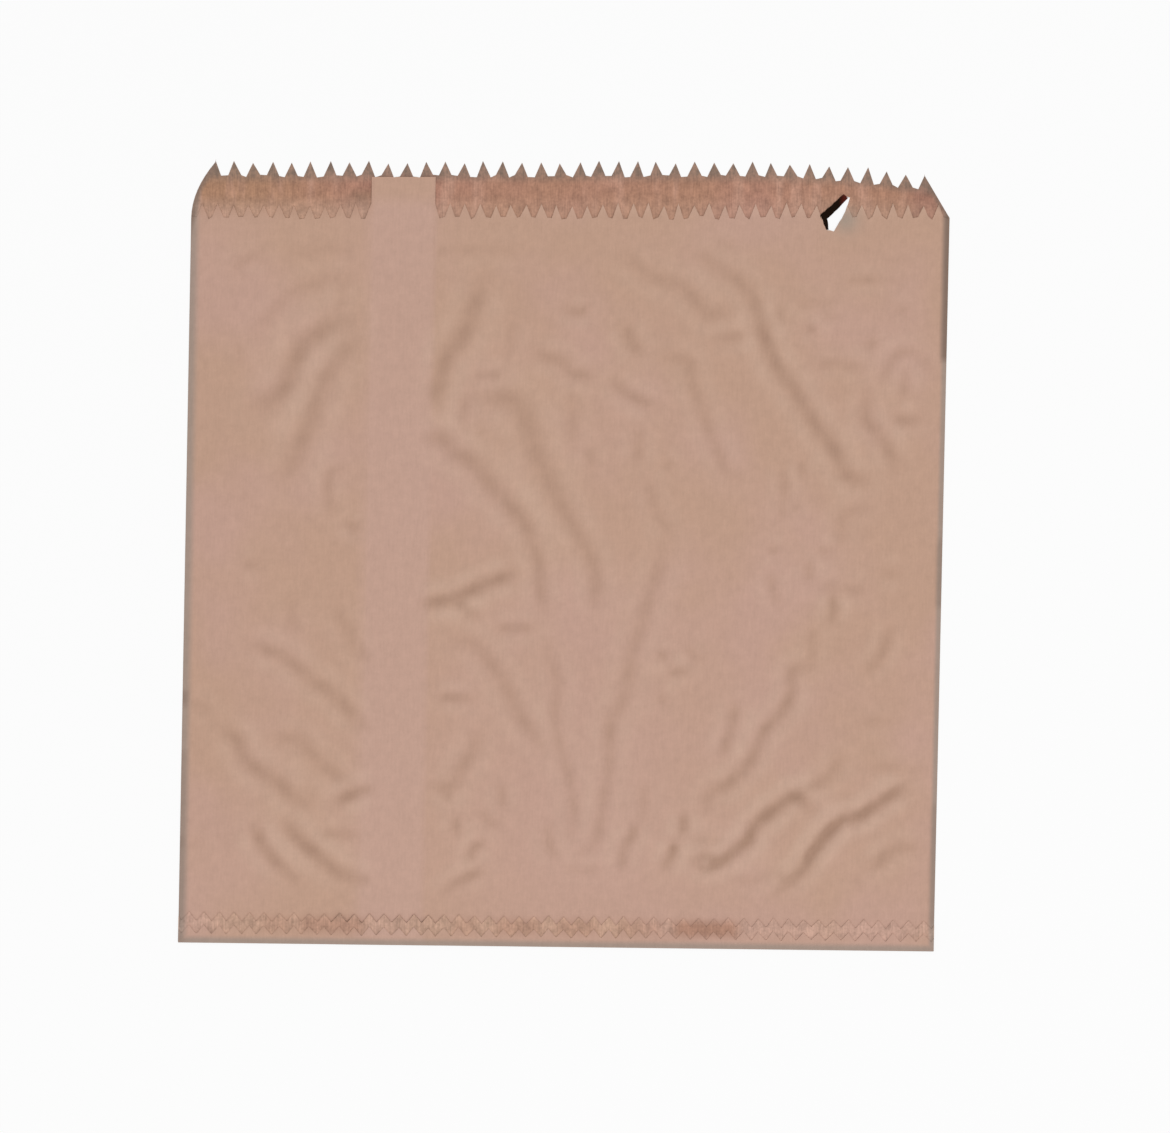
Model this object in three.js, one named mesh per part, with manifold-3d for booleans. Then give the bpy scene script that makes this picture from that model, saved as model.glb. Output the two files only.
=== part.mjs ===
// A flat brown paper lunch bag, lying on its plain far side with its seam up.
// One sheet of kraft paper is rolled into a flattened tube and lapped down the near side.
// The tube's mouth is pinked, with the near ply cut short of the far one to leave a lip.
// Its bottom end is folded up over the near side, with the end of each ply pinked too.
// Millimetres, +Z up, +Y towards the mouth, +X to the right as the seam is looked at.

import * as THREE from "three";
import { mergeVertices } from "three/addons/utils/BufferGeometryUtils.js";
import Module from "manifold-3d";

const wasm = await Module();
wasm.setup();

// The paper, and the air and paste between its plies
const PAPER_THICKNESS = 0.1;
const PRESSED_GAP = 0.1;
const PASTE_FILM = 0.05;
const PASTE_BITE = 0.03;

// The flattened tube, from side fold to side fold and from bottom fold to far teeth
const BAG_WIDTH = 200;
const BAG_LENGTH = 207.4;
const SIDE_FOLD_STEPS = 2;

// The lap seam, measured from the left side fold. It runs on past the lip as a tongue.
const HIDDEN_LAP_EDGE = 47.4;
const LAP_WIDTH = 16.8;
const LAP_RAMP = 2.5;
const LAP_PASTE_WIDTH = 9;
const TONGUE_DROP = 3.9;

// The mouth: two pinked cuts, a little out of square, the far one dipping to its right end
const CUT_SKEW_DEG = 1.15;
const FAR_PITCH = 5.05;
const FAR_TOOTH = 3.8;
const LEFT_CORNER_INSET = 6.1;
const RIGHT_CORNER_INSET = 6.8;
const MOUTH_DIP = 4.7;
const MOUTH_DIP_WIDTH = 55;
const LIP_DROP = 11.1;
const LIP_PITCH = 4;
const LIP_TOOTH = 3.6;

// The bottom, folded up over the near side and pasted down
const FOLD_SKEW_DEG = 0.46;
const FOLD_STEPS = 4;
const FLAP_FAR_LENGTH = 4.8;
const FLAP_STEP_BACK = 3.4;
const FLAP_PITCH = 4;
const FLAP_TOOTH = 2.2;
const FLAP_PASTE_START = 1.4;
const FLAP_PASTE_WIDTH = 1;
const FLAP_PASTE_INSET = 4;

// The torn hole near the mouth's right corner: its middle, from the right fold and the lip,
// and its corners, from that middle. Its long slanted side is the upper left one.
const TEAR_FROM_RIGHT = 30;
const TEAR_BELOW_LIP = 2.3;
const TEAR_CORNERS = [[1.9, 4.8], [-4, -0.8], [-2.6, -4.4], [-0.5, -4.8], [2.1, -0.4], [3.8, 4.4]];

// How the near side stands off the far side
const BULGE_EDGE = 0.9;
const BULGE_MIDDLE = 0.7;
const BULGE_FLOOR = 0.25;
const SIDE_RISE = 16;
const BOTTOM_RISE = 18;
const MOUTH_RISE = 42;
const MOUTH_GAPE = 0.5;
const WRINKLE_WIDTH = 4.6;
const RIDGE_OFFSET = 7;
const RIDGE_SHARE = 0.55;

// How finely the near side is faceted
const NEAR_COLUMNS = 31;
const NEAR_ROWS = 32;
const ROUTE_STEPS = 8;
const CURVE_STEPS = 5;

// The main wrinkles: a depth in millimetres, and a route in hundredths of the bag's width
// and length. A crowded ridge runs along the left of the route, going from its first point.
const WRINKLES = [
  { depth: 0.6, route: [[10, 69], [14, 76], [20, 81]] },
  { depth: 0.5, route: [[14, 59], [15, 65], [18, 73]] },
  { depth: 0.7, route: [[33, 70], [36, 78], [38, 85]] },
  { depth: 0.7, route: [[47, 47], [46, 54], [41, 58], [36, 63]] },
  { depth: 0.7, route: [[55, 45], [52, 53], [48, 60], [45, 67]] },
  { depth: 0.7, route: [[72, 60], [68, 67], [66, 76], [58, 79]] },
  { depth: 0.5, route: [[70, 80], [66, 84], [58, 87]] },
  { depth: 0.7, route: [[87, 62], [81, 70], [77, 76], [74, 84], [69, 87]] },
  { depth: 0.5, route: [[92, 66], [87, 74], [79, 82]] },
  { depth: 0.7, route: [[31, 44], [37, 44], [44, 47]] },
  { depth: 0.7, route: [[37, 39], [42, 37], [45, 31], [47, 26]] },
  { depth: 0.6, route: [[48, 39], [50, 30], [52, 22], [51, 13]] },
  { depth: 0.6, route: [[62, 45], [59, 38], [57, 29], [55, 14]] },
  { depth: 0.7, route: [[81, 35], [79, 28], [74, 22], [69, 19]] },
  { depth: 0.8, route: [[86, 23], [81, 19], [75, 13], [68, 10]] },
  { depth: 0.8, route: [[95, 20], [88, 16], [83, 11], [78, 8]] },
  { depth: 0.7, route: [[25, 28], [18, 33], [13, 37]] },
  { depth: 0.6, route: [[22, 17], [16, 19], [9, 23]] },
  { depth: 0.8, route: [[26, 9], [20, 11], [14, 16]] },
  { depth: 0.7, route: [[40, 12], [35, 8]] },
];

const cutSlope = Math.tan(THREE.MathUtils.degToRad(CUT_SKEW_DEG));
const foldSlope = Math.tan(THREE.MathUtils.degToRad(FOLD_SKEW_DEG));
const halfWidth = BAG_WIDTH / 2;
const halfPaper = PAPER_THICKNESS / 2;

// Heights above the far ply's outer face, of each ply's middle where all is pressed flat
const farLevel = halfPaper;
const nearLevel = farLevel + PAPER_THICKNESS + PRESSED_GAP;
const lapStep = PAPER_THICKNESS + PASTE_FILM;
const sideFoldRadius = (nearLevel - farLevel) / 2;

// The bottom fold's outer radius: both plies, the lapped third one and half of the last gap
const foldRadius = nearLevel + lapStep + halfPaper + PRESSED_GAP / 2;

const hiddenLapX = HIDDEN_LAP_EDGE - halfWidth;
const visibleLapX = hiddenLapX + LAP_WIDTH;
const pasteLeftX = hiddenLapX + (LAP_WIDTH - LAP_PASTE_WIDTH) / 2;
const pasteRightX = pasteLeftX + LAP_PASTE_WIDTH;
const lapColumns = [hiddenLapX, pasteLeftX, pasteRightX, visibleLapX];
const flapLength = FLAP_FAR_LENGTH + FLAP_STEP_BACK;
const sheetMargin = FLAP_TOOTH / 2;
const flapEnd = flapLength + sheetMargin;
const mouthEnd = BAG_LENGTH + halfWidth * cutSlope + sheetMargin;

/** Where the far teeth's tips lie. */
function farTipLine(x) {
  const dip = Math.max(0, x - halfWidth + MOUTH_DIP_WIDTH) / MOUTH_DIP_WIDTH;
  return BAG_LENGTH + x * cutSlope - MOUTH_DIP * dip * dip;
}

/** Where the lip's tips lie. */
function lipTipLine(x) {
  return BAG_LENGTH - LIP_DROP + x * cutSlope;
}

/** A place along the bag, turned out of square as the nearer end's cut is. */
function skewed(x, y) {
  const share = THREE.MathUtils.clamp(y / BAG_LENGTH, 0, 1);
  return y + x * THREE.MathUtils.lerp(foldSlope, cutSlope, share);
}

const wrinkleRoutes = WRINKLES.map(({ depth, route }) => {
  const points = route.map(([across, along]) => new THREE.Vector2(
    (across / 100) * BAG_WIDTH - halfWidth,
    (along / 100) * BAG_LENGTH,
  ));
  return { depth, points: new THREE.SplineCurve(points).getPoints(ROUTE_STEPS) };
});

/** Distance from a place to a route, below zero on its right. */
function signedDistance(place, points) {
  let nearest = Infinity;
  let side = 1;
  for (let i = 1; i < points.length; i += 1) {
    const along = points[i].clone().sub(points[i - 1]);
    const offset = place.clone().sub(points[i - 1]);
    const share = THREE.MathUtils.clamp(offset.dot(along) / along.lengthSq(), 0, 1);
    const distance = offset.distanceTo(along.clone().multiplyScalar(share));
    if (distance < nearest) {
      nearest = distance;
      side = along.cross(offset) >= 0 ? 1 : -1;
    }
  }
  return side * nearest;
}

/** A rounded bump of height 1 and the wrinkles' width. */
function bump(distance) {
  return Math.exp(-((distance / WRINKLE_WIDTH) ** 2));
}

/** How far the wrinkles lower the near side, or raise it where they crowd a ridge. */
function wrinkleRelief(x, y) {
  const place = new THREE.Vector2(x, y);
  let relief = 0;
  for (const { depth, points } of wrinkleRoutes) {
    const distance = signedDistance(place, points);
    relief += depth * (RIDGE_SHARE * bump(distance - RIDGE_OFFSET) - bump(distance));
  }
  return relief;
}

/** The middle of the near ply above the far ply's outer face. */
function nearHeight(x, y) {
  const { smoothstep } = THREE.MathUtils;
  const fromSide = smoothstep(halfWidth - Math.abs(x), 0, SIDE_RISE);
  const fromBottom = smoothstep(y, flapEnd, flapEnd + BOTTOM_RISE);
  const toMouth = smoothstep(y, BAG_LENGTH - LIP_DROP - MOUTH_RISE, BAG_LENGTH - LIP_DROP);
  const across = 1 - (x / halfWidth) ** 2;
  const along = 1 - (2 * y / BAG_LENGTH - 1) ** 2;
  const bulge = BULGE_EDGE + BULGE_MIDDLE * across * along + wrinkleRelief(x, y);
  const stand = THREE.MathUtils.lerp(Math.max(bulge, BULGE_FLOOR), MOUTH_GAPE, toMouth);
  return nearLevel + fromSide * fromBottom * stand;
}

/** Evenly spaced places between two ends, both included. */
function evenly(from, to, steps) {
  return Array.from({ length: steps + 1 }, (_, i) => from + ((to - from) * i) / steps);
}

/** The places across the near side where its sheet is faceted. */
function nearColumns(from, to) {
  const width = BAG_WIDTH / NEAR_COLUMNS;
  return evenly(from, to, Math.max(1, Math.round((to - from) / width)));
}

/** A row of the sheet's middle, as it is rolled: hidden lap edge, right, far, left, lap. */
function sectionRow(heightAt) {
  const foldX = halfWidth - sideFoldRadius - halfPaper / Math.cos(Math.PI / (2 * SIDE_FOLD_STEPS));
  const sideFold = (side) => evenly(0, Math.PI, SIDE_FOLD_STEPS).map((turn) => new THREE.Vector2(
    side * (foldX + sideFoldRadius * Math.sin(turn)),
    farLevel + sideFoldRadius * (1 + Math.cos(turn)),
  ));
  const rightPanel = nearColumns(visibleLapX, foldX).slice(1, -1);
  const leftPanel = nearColumns(-foldX, hiddenLapX - LAP_RAMP).slice(1);
  return [
    ...[...lapColumns, ...rightPanel].map((x) => new THREE.Vector2(x, heightAt(x))),
    ...sideFold(1),
    ...sideFold(-1).reverse(),
    ...leftPanel.map((x) => new THREE.Vector2(x, heightAt(x))),
    ...lapColumns.map((x) => new THREE.Vector2(x, heightAt(x) + lapStep)),
  ];
}

/** A row moved off its middle by a distance, with its corners mitred. */
function offsetRow(row, distance) {
  return row.map((point, i) => {
    const before = point.clone().sub(row[Math.max(i - 1, 0)]).normalize();
    const after = row[Math.min(i + 1, row.length - 1)].clone().sub(point).normalize();
    const along = before.clone().add(after).normalize();
    const mitre = along.dot(i === 0 ? after : before);
    return new THREE.Vector2(-along.y, along.x).multiplyScalar(distance / mitre).add(point);
  });
}

/** The sheet's stations, from the flap's end round the bottom fold and up to the mouth. */
function sheetStations() {
  const pressed = () => nearLevel;
  const flap = {
    heightAt: pressed,
    place: (x, height) => [x, skewed(x, 0) + flapEnd, 2 * foldRadius - height],
  };
  const fold = evenly(Math.PI, 0, FOLD_STEPS).map((turn) => ({
    heightAt: pressed,
    place: (x, height) => [
      x,
      skewed(x, 0) + foldRadius - (foldRadius - height) * Math.sin(turn),
      foldRadius - (foldRadius - height) * Math.cos(turn),
    ],
  }));
  const body = evenly(flapEnd, mouthEnd, NEAR_ROWS).map((y) => ({
    heightAt: (x) => nearHeight(x, y),
    place: (x, height) => [x, skewed(x, y), height],
  }));
  return [flap, ...fold, ...body];
}

/** A closed sheet from the rows of its two faces. */
function sheetGeometry(upperRows, lowerRows) {
  const rows = upperRows.length;
  const columns = upperRows[0].length;
  const positions = [...upperRows, ...lowerRows].flat(2);
  const upper = (row, column) => row * columns + column;
  const lower = (row, column) => (rows + row) * columns + column;
  const indices = [];
  const quad = (a, b, c, d) => indices.push(a, b, c, a, c, d);
  for (let row = 1; row < rows; row += 1) {
    for (let column = 1; column < columns; column += 1) {
      quad(
        upper(row - 1, column - 1),
        upper(row - 1, column),
        upper(row, column),
        upper(row, column - 1),
      );
      quad(
        lower(row - 1, column - 1),
        lower(row, column - 1),
        lower(row, column),
        lower(row - 1, column),
      );
    }
    const last = columns - 1;
    quad(upper(row - 1, 0), upper(row, 0), lower(row, 0), lower(row - 1, 0));
    quad(upper(row - 1, last), lower(row - 1, last), lower(row, last), upper(row, last));
  }
  for (let column = 1; column < columns; column += 1) {
    const last = rows - 1;
    quad(upper(0, column - 1), lower(0, column - 1), lower(0, column), upper(0, column));
    quad(upper(last, column - 1), upper(last, column), lower(last, column), lower(last, column - 1));
  }
  const geometry = new THREE.BufferGeometry();
  geometry.setAttribute("position", new THREE.Float32BufferAttribute(positions, 3));
  geometry.setIndex(indices);
  return geometry;
}

/** A geometry as a solid that can be joined and cut. */
function solidOf(geometry) {
  geometry.deleteAttribute("normal");
  geometry.deleteAttribute("uv");
  const merged = mergeVertices(geometry);
  return new wasm.Manifold(new wasm.Mesh({
    numProp: 3,
    vertProperties: merged.attributes.position.array,
    triVerts: new Uint32Array(merged.index.array),
  }));
}

/** The whole rolled and folded sheet, before it is pinked. */
function rolledSheet() {
  const stations = sheetStations();
  const faceRows = (distance) => stations.map(({ heightAt, place }) => (
    offsetRow(sectionRow(heightAt), distance).map((point) => place(point.x, point.y))
  ));
  return solidOf(sheetGeometry(faceRows(halfPaper), faceRows(-halfPaper)));
}

/** The paste between the two laps, over the whole length of the seam. */
function lapPaste() {
  const faceRows = (distance) => sheetStations().map(({ heightAt, place }) => (
    [pasteLeftX, pasteRightX].map((x) => place(x, heightAt(x) + lapStep / 2 + distance))
  ));
  const reach = PASTE_FILM / 2 + PASTE_BITE;
  return solidOf(sheetGeometry(faceRows(reach), faceRows(-reach)));
}

/** A flat outline extruded between two heights. */
function prism(shape, bottom, top) {
  const options = { depth: top - bottom, bevelEnabled: false, curveSegments: CURVE_STEPS };
  return new THREE.ExtrudeGeometry(shape, options).translate(0, 0, bottom);
}

/** The paste that holds the folded-up bottom down, clear of both side folds. */
function flapPaste() {
  const reach = halfWidth - FLAP_PASTE_INSET;
  const start = (x) => skewed(x, 0) + FLAP_PASTE_START;
  const shape = new THREE.Shape([
    new THREE.Vector2(-reach, start(-reach)),
    new THREE.Vector2(reach, start(reach)),
    new THREE.Vector2(reach, start(reach) + FLAP_PASTE_WIDTH),
    new THREE.Vector2(-reach, start(-reach) + FLAP_PASTE_WIDTH),
  ]);
  const bodyFace = nearLevel + halfPaper - PASTE_BITE;
  return solidOf(prism(shape, bodyFace, 2 * foldRadius - bodyFace));
}

/** The zigzag of a pinked edge: a tip at each end, with its tips on a line. */
function pinkedEdge(from, to, pitch, tooth, tipLine) {
  const teeth = Math.max(1, Math.round((to - from) / pitch));
  return evenly(from, to, 2 * teeth).map((x, i) => (
    new THREE.Vector2(x, tipLine(x) - (i % 2) * tooth)
  ));
}

/** The waste beyond a pinked edge, as one outline that closes past the sheet's end. */
function wasteBeyond(edge, end) {
  const first = edge[0];
  const last = edge[edge.length - 1];
  return new THREE.Shape([...edge, new THREE.Vector2(last.x, end), new THREE.Vector2(first.x, end)]);
}

const wasteTop = nearLevel + BULGE_EDGE + BULGE_MIDDLE + 2 * foldRadius;
const wasteEnd = mouthEnd + halfWidth * cutSlope + LIP_TOOTH;
const wasteSide = halfWidth + FAR_PITCH;

/** What the far cut takes off the mouth: its teeth, the round left and slanted right corner. */
function mouthWaste() {
  const firstTip = LEFT_CORNER_INSET - halfWidth;
  const lastTip = halfWidth - RIGHT_CORNER_INSET;
  const cornerLeft = lipTipLine(-halfWidth) - LIP_TOOTH;
  const cornerRight = lipTipLine(halfWidth) - LIP_TOOTH;
  const shape = new THREE.Shape();
  shape.moveTo(-wasteSide, cornerLeft);
  shape.lineTo(-halfWidth, cornerLeft);
  const cornerMiddle = (cornerLeft + farTipLine(firstTip)) / 2;
  shape.quadraticCurveTo(-halfWidth, cornerMiddle, firstTip, farTipLine(firstTip));
  const teeth = pinkedEdge(firstTip, lastTip, FAR_PITCH, FAR_TOOTH, farTipLine);
  teeth.slice(1).forEach((point) => shape.lineTo(point.x, point.y));
  shape.lineTo(halfWidth, cornerRight);
  shape.lineTo(wasteSide, cornerRight);
  shape.lineTo(wasteSide, wasteEnd);
  shape.lineTo(-wasteSide, wasteEnd);
  return solidOf(prism(shape, -PAPER_THICKNESS, wasteTop));
}

/** What the lip cut takes off the near ply, on one side of the seam. */
function lipWaste(from, to) {
  const edge = pinkedEdge(from, to, LIP_PITCH, LIP_TOOTH, lipTipLine);
  const betweenPlies = (nearLevel + farLevel) / 2;
  return solidOf(prism(wasteBeyond(edge, wasteEnd), betweenPlies, wasteTop));
}

/** What a straight cut takes off the tongue, just below the far teeth. */
function tongueWaste() {
  const edge = [hiddenLapX - LAP_RAMP, visibleLapX + LAP_RAMP].map((x) => (
    new THREE.Vector2(x, farTipLine(x) - TONGUE_DROP)
  ));
  const betweenPlies = (nearLevel + farLevel) / 2;
  return solidOf(prism(wasteBeyond(edge, wasteEnd), betweenPlies, wasteTop));
}

/** What is cut off the end of the flap, from one ply's pinked edge to the sheet's end. */
function flapWaste(length, bottom) {
  const tipLine = (x) => skewed(x, 0) + length;
  const edge = pinkedEdge(-wasteSide, wasteSide, FLAP_PITCH, FLAP_TOOTH, tipLine);
  const end = flapEnd + wasteSide * foldSlope + sheetMargin / 2;
  return solidOf(prism(wasteBeyond(edge, end), bottom, wasteTop));
}

/** The torn hole through both plies. */
function tearWaste() {
  const shape = new THREE.Shape(TEAR_CORNERS.map(([x, y]) => new THREE.Vector2(x, y)));
  const x = halfWidth - TEAR_FROM_RIGHT;
  const geometry = prism(shape, -PAPER_THICKNESS, wasteTop);
  return solidOf(geometry.translate(x, lipTipLine(x) - TEAR_BELOW_LIP, 0));
}

/** A solid without the scraps of paper that its cuts left loose. */
function withoutScraps(solid) {
  const pieces = solid.decompose();
  return pieces.reduce((kept, piece) => (piece.volume() > kept.volume() ? piece : kept));
}

/** The finished bag, as one solid of paper and paste. */
function paperBag() {
  const flapFarFace = 2 * foldRadius - (nearLevel + farLevel) / 2;
  const bag = rolledSheet()
    .add(lapPaste())
    .add(flapPaste())
    .subtract(mouthWaste())
    .subtract(lipWaste(-wasteSide, hiddenLapX))
    .subtract(lipWaste(visibleLapX, wasteSide))
    .subtract(tongueWaste())
    .subtract(flapWaste(FLAP_FAR_LENGTH, flapFarFace))
    .subtract(flapWaste(flapLength, foldRadius))
    .subtract(tearWaste());
  return withoutScraps(bag);
}

/** A solid's faces as a geometry, with its box centred over the origin. */
function centredGeometry(solid) {
  const mesh = solid.getMesh();
  const geometry = new THREE.BufferGeometry();
  geometry.setAttribute("position", new THREE.Float32BufferAttribute(mesh.vertProperties, 3));
  geometry.setIndex(new THREE.Uint32BufferAttribute(mesh.triVerts, 1));
  geometry.computeBoundingBox();
  const middle = geometry.boundingBox.getCenter(new THREE.Vector3());
  geometry.translate(-middle.x, -middle.y, 0);
  geometry.computeVertexNormals();
  return geometry;
}

const kraftPaper = new THREE.MeshStandardMaterial({
  color: 0xbe9b85,
  roughness: 0.85,
  metalness: 0,
});

const paperBagMesh = new THREE.Mesh(centredGeometry(paperBag()), kraftPaper);
paperBagMesh.name = "paper_bag";

const group = new THREE.Group();
group.add(paperBagMesh);

export default group;
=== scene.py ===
"""A flat brown paper lunch bag, lying seam side up on a white table under a camera.

One sheet of kraft paper makes the whole bag: a lapped tube with pinked mouth and bottom,
its bottom folded up over the near side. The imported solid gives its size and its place.
The sheet is made again here with its fine wrinkles, and pinked at the same pitches.
Sizes are in metres. A place on the bag counts from the middle of its bottom fold.
"""

import logging
import math
from dataclasses import dataclass, field
from enum import Enum, IntEnum

import bmesh
import bpy
import numpy as np
from mathutils import Euler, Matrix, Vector


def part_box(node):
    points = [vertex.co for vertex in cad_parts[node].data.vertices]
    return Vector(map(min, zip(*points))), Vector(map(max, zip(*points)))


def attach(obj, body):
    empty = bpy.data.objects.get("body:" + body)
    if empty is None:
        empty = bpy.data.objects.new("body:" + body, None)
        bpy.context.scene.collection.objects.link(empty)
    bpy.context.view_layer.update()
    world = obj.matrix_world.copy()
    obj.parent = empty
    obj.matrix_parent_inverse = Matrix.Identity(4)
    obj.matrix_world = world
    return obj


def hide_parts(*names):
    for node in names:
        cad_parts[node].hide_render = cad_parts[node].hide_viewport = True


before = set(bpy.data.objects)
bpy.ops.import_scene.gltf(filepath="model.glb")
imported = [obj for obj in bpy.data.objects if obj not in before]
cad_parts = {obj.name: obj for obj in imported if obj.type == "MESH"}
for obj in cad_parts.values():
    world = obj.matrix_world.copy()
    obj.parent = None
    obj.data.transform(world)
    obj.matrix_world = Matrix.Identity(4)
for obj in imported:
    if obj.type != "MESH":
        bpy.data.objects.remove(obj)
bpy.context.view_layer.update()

log = logging.getLogger("lunch_bag")

MM = 0.001
SOLID = "paper_bag"
BODY = "root"
Colour = tuple[float, float, float, float]
WHITE: Colour = (1.0, 1.0, 1.0, 1.0)


class Face(IntEnum):
    """Which side of the paper a face is on, as the number of its material."""

    OUTER = 0
    INNER = 1
    CUT = 2


class Ply(Enum):
    """What a pinking blade cuts through."""

    NEAR = "near ply"
    BOTH = "both plies"
    FLAP_FAR = "far ply of the flap"
    FLAP = "both plies of the flap"


@dataclass(frozen=True)
class SheetSizes:
    """The paper and the places where it is lapped, folded and cut."""

    paper: float = 0.1 * MM
    pressed_gap: float = 0.1 * MM
    paste_film: float = 0.05 * MM
    length: float = 207.4 * MM
    hidden_lap_edge: float = 47.4 * MM
    lap_width: float = 16.8 * MM
    lap_ramp: float = 2.5 * MM
    lap_paste_width: float = 9 * MM
    tongue_drop: float = 3.9 * MM
    cut_skew: float = math.radians(1.15)
    fold_skew: float = math.radians(0.46)
    lip_drop: float = 11.1 * MM
    mouth_dip: float = 4.7 * MM
    mouth_dip_width: float = 55 * MM
    flap_far_length: float = 4.8 * MM
    flap_step_back: float = 3.4 * MM
    flap_margin: float = 1.1 * MM
    fold_ramp: float = 8 * MM
    left_corner_inset: float = 6.1 * MM
    right_corner_inset: float = 6.8 * MM


@dataclass(frozen=True)
class Pinking:
    """One row of teeth: its pitch and depth, the share of the pitch that its valleys are wide,
    and how uneven the shears left it."""

    pitch: float
    tooth: float
    valley: float
    depth_scatter: float
    side_scatter: float
    seed: int


FAR_PINKING = Pinking(5.05 * MM, 3.7 * MM, 0.3, 0.4 * MM, 0.25 * MM, 3)
LIP_PINKING = Pinking(4.0 * MM, 3.6 * MM, 0.28, 0.5 * MM, 0.2 * MM, 11)
FLAP_PINKING = Pinking(4.0 * MM, 2.2 * MM, 0.06, 0.2 * MM, 0.12 * MM, 5)


@dataclass(frozen=True)
class BulgeSizes:
    """How the near side stands off the far side."""

    edge: float = 0.9 * MM
    middle: float = 0.7 * MM
    least: float = 0.25 * MM
    side_rise: float = 16 * MM
    bottom_start: float = 3.2 * MM
    bottom_rise: float = 16 * MM
    mouth_rise: float = 42 * MM
    mouth_gape: float = 0.06 * MM
    cockle: float = 0.025 * MM
    cockle_waves: int = 14
    cockle_shortest: float = 5 * MM
    cockle_longest: float = 16 * MM


@dataclass(frozen=True)
class Wrinkle:
    """One wrinkle pressed into the near side: depth, width and route, in millimetres."""

    depth: float
    width: float
    route: tuple[tuple[float, float], ...]


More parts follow.
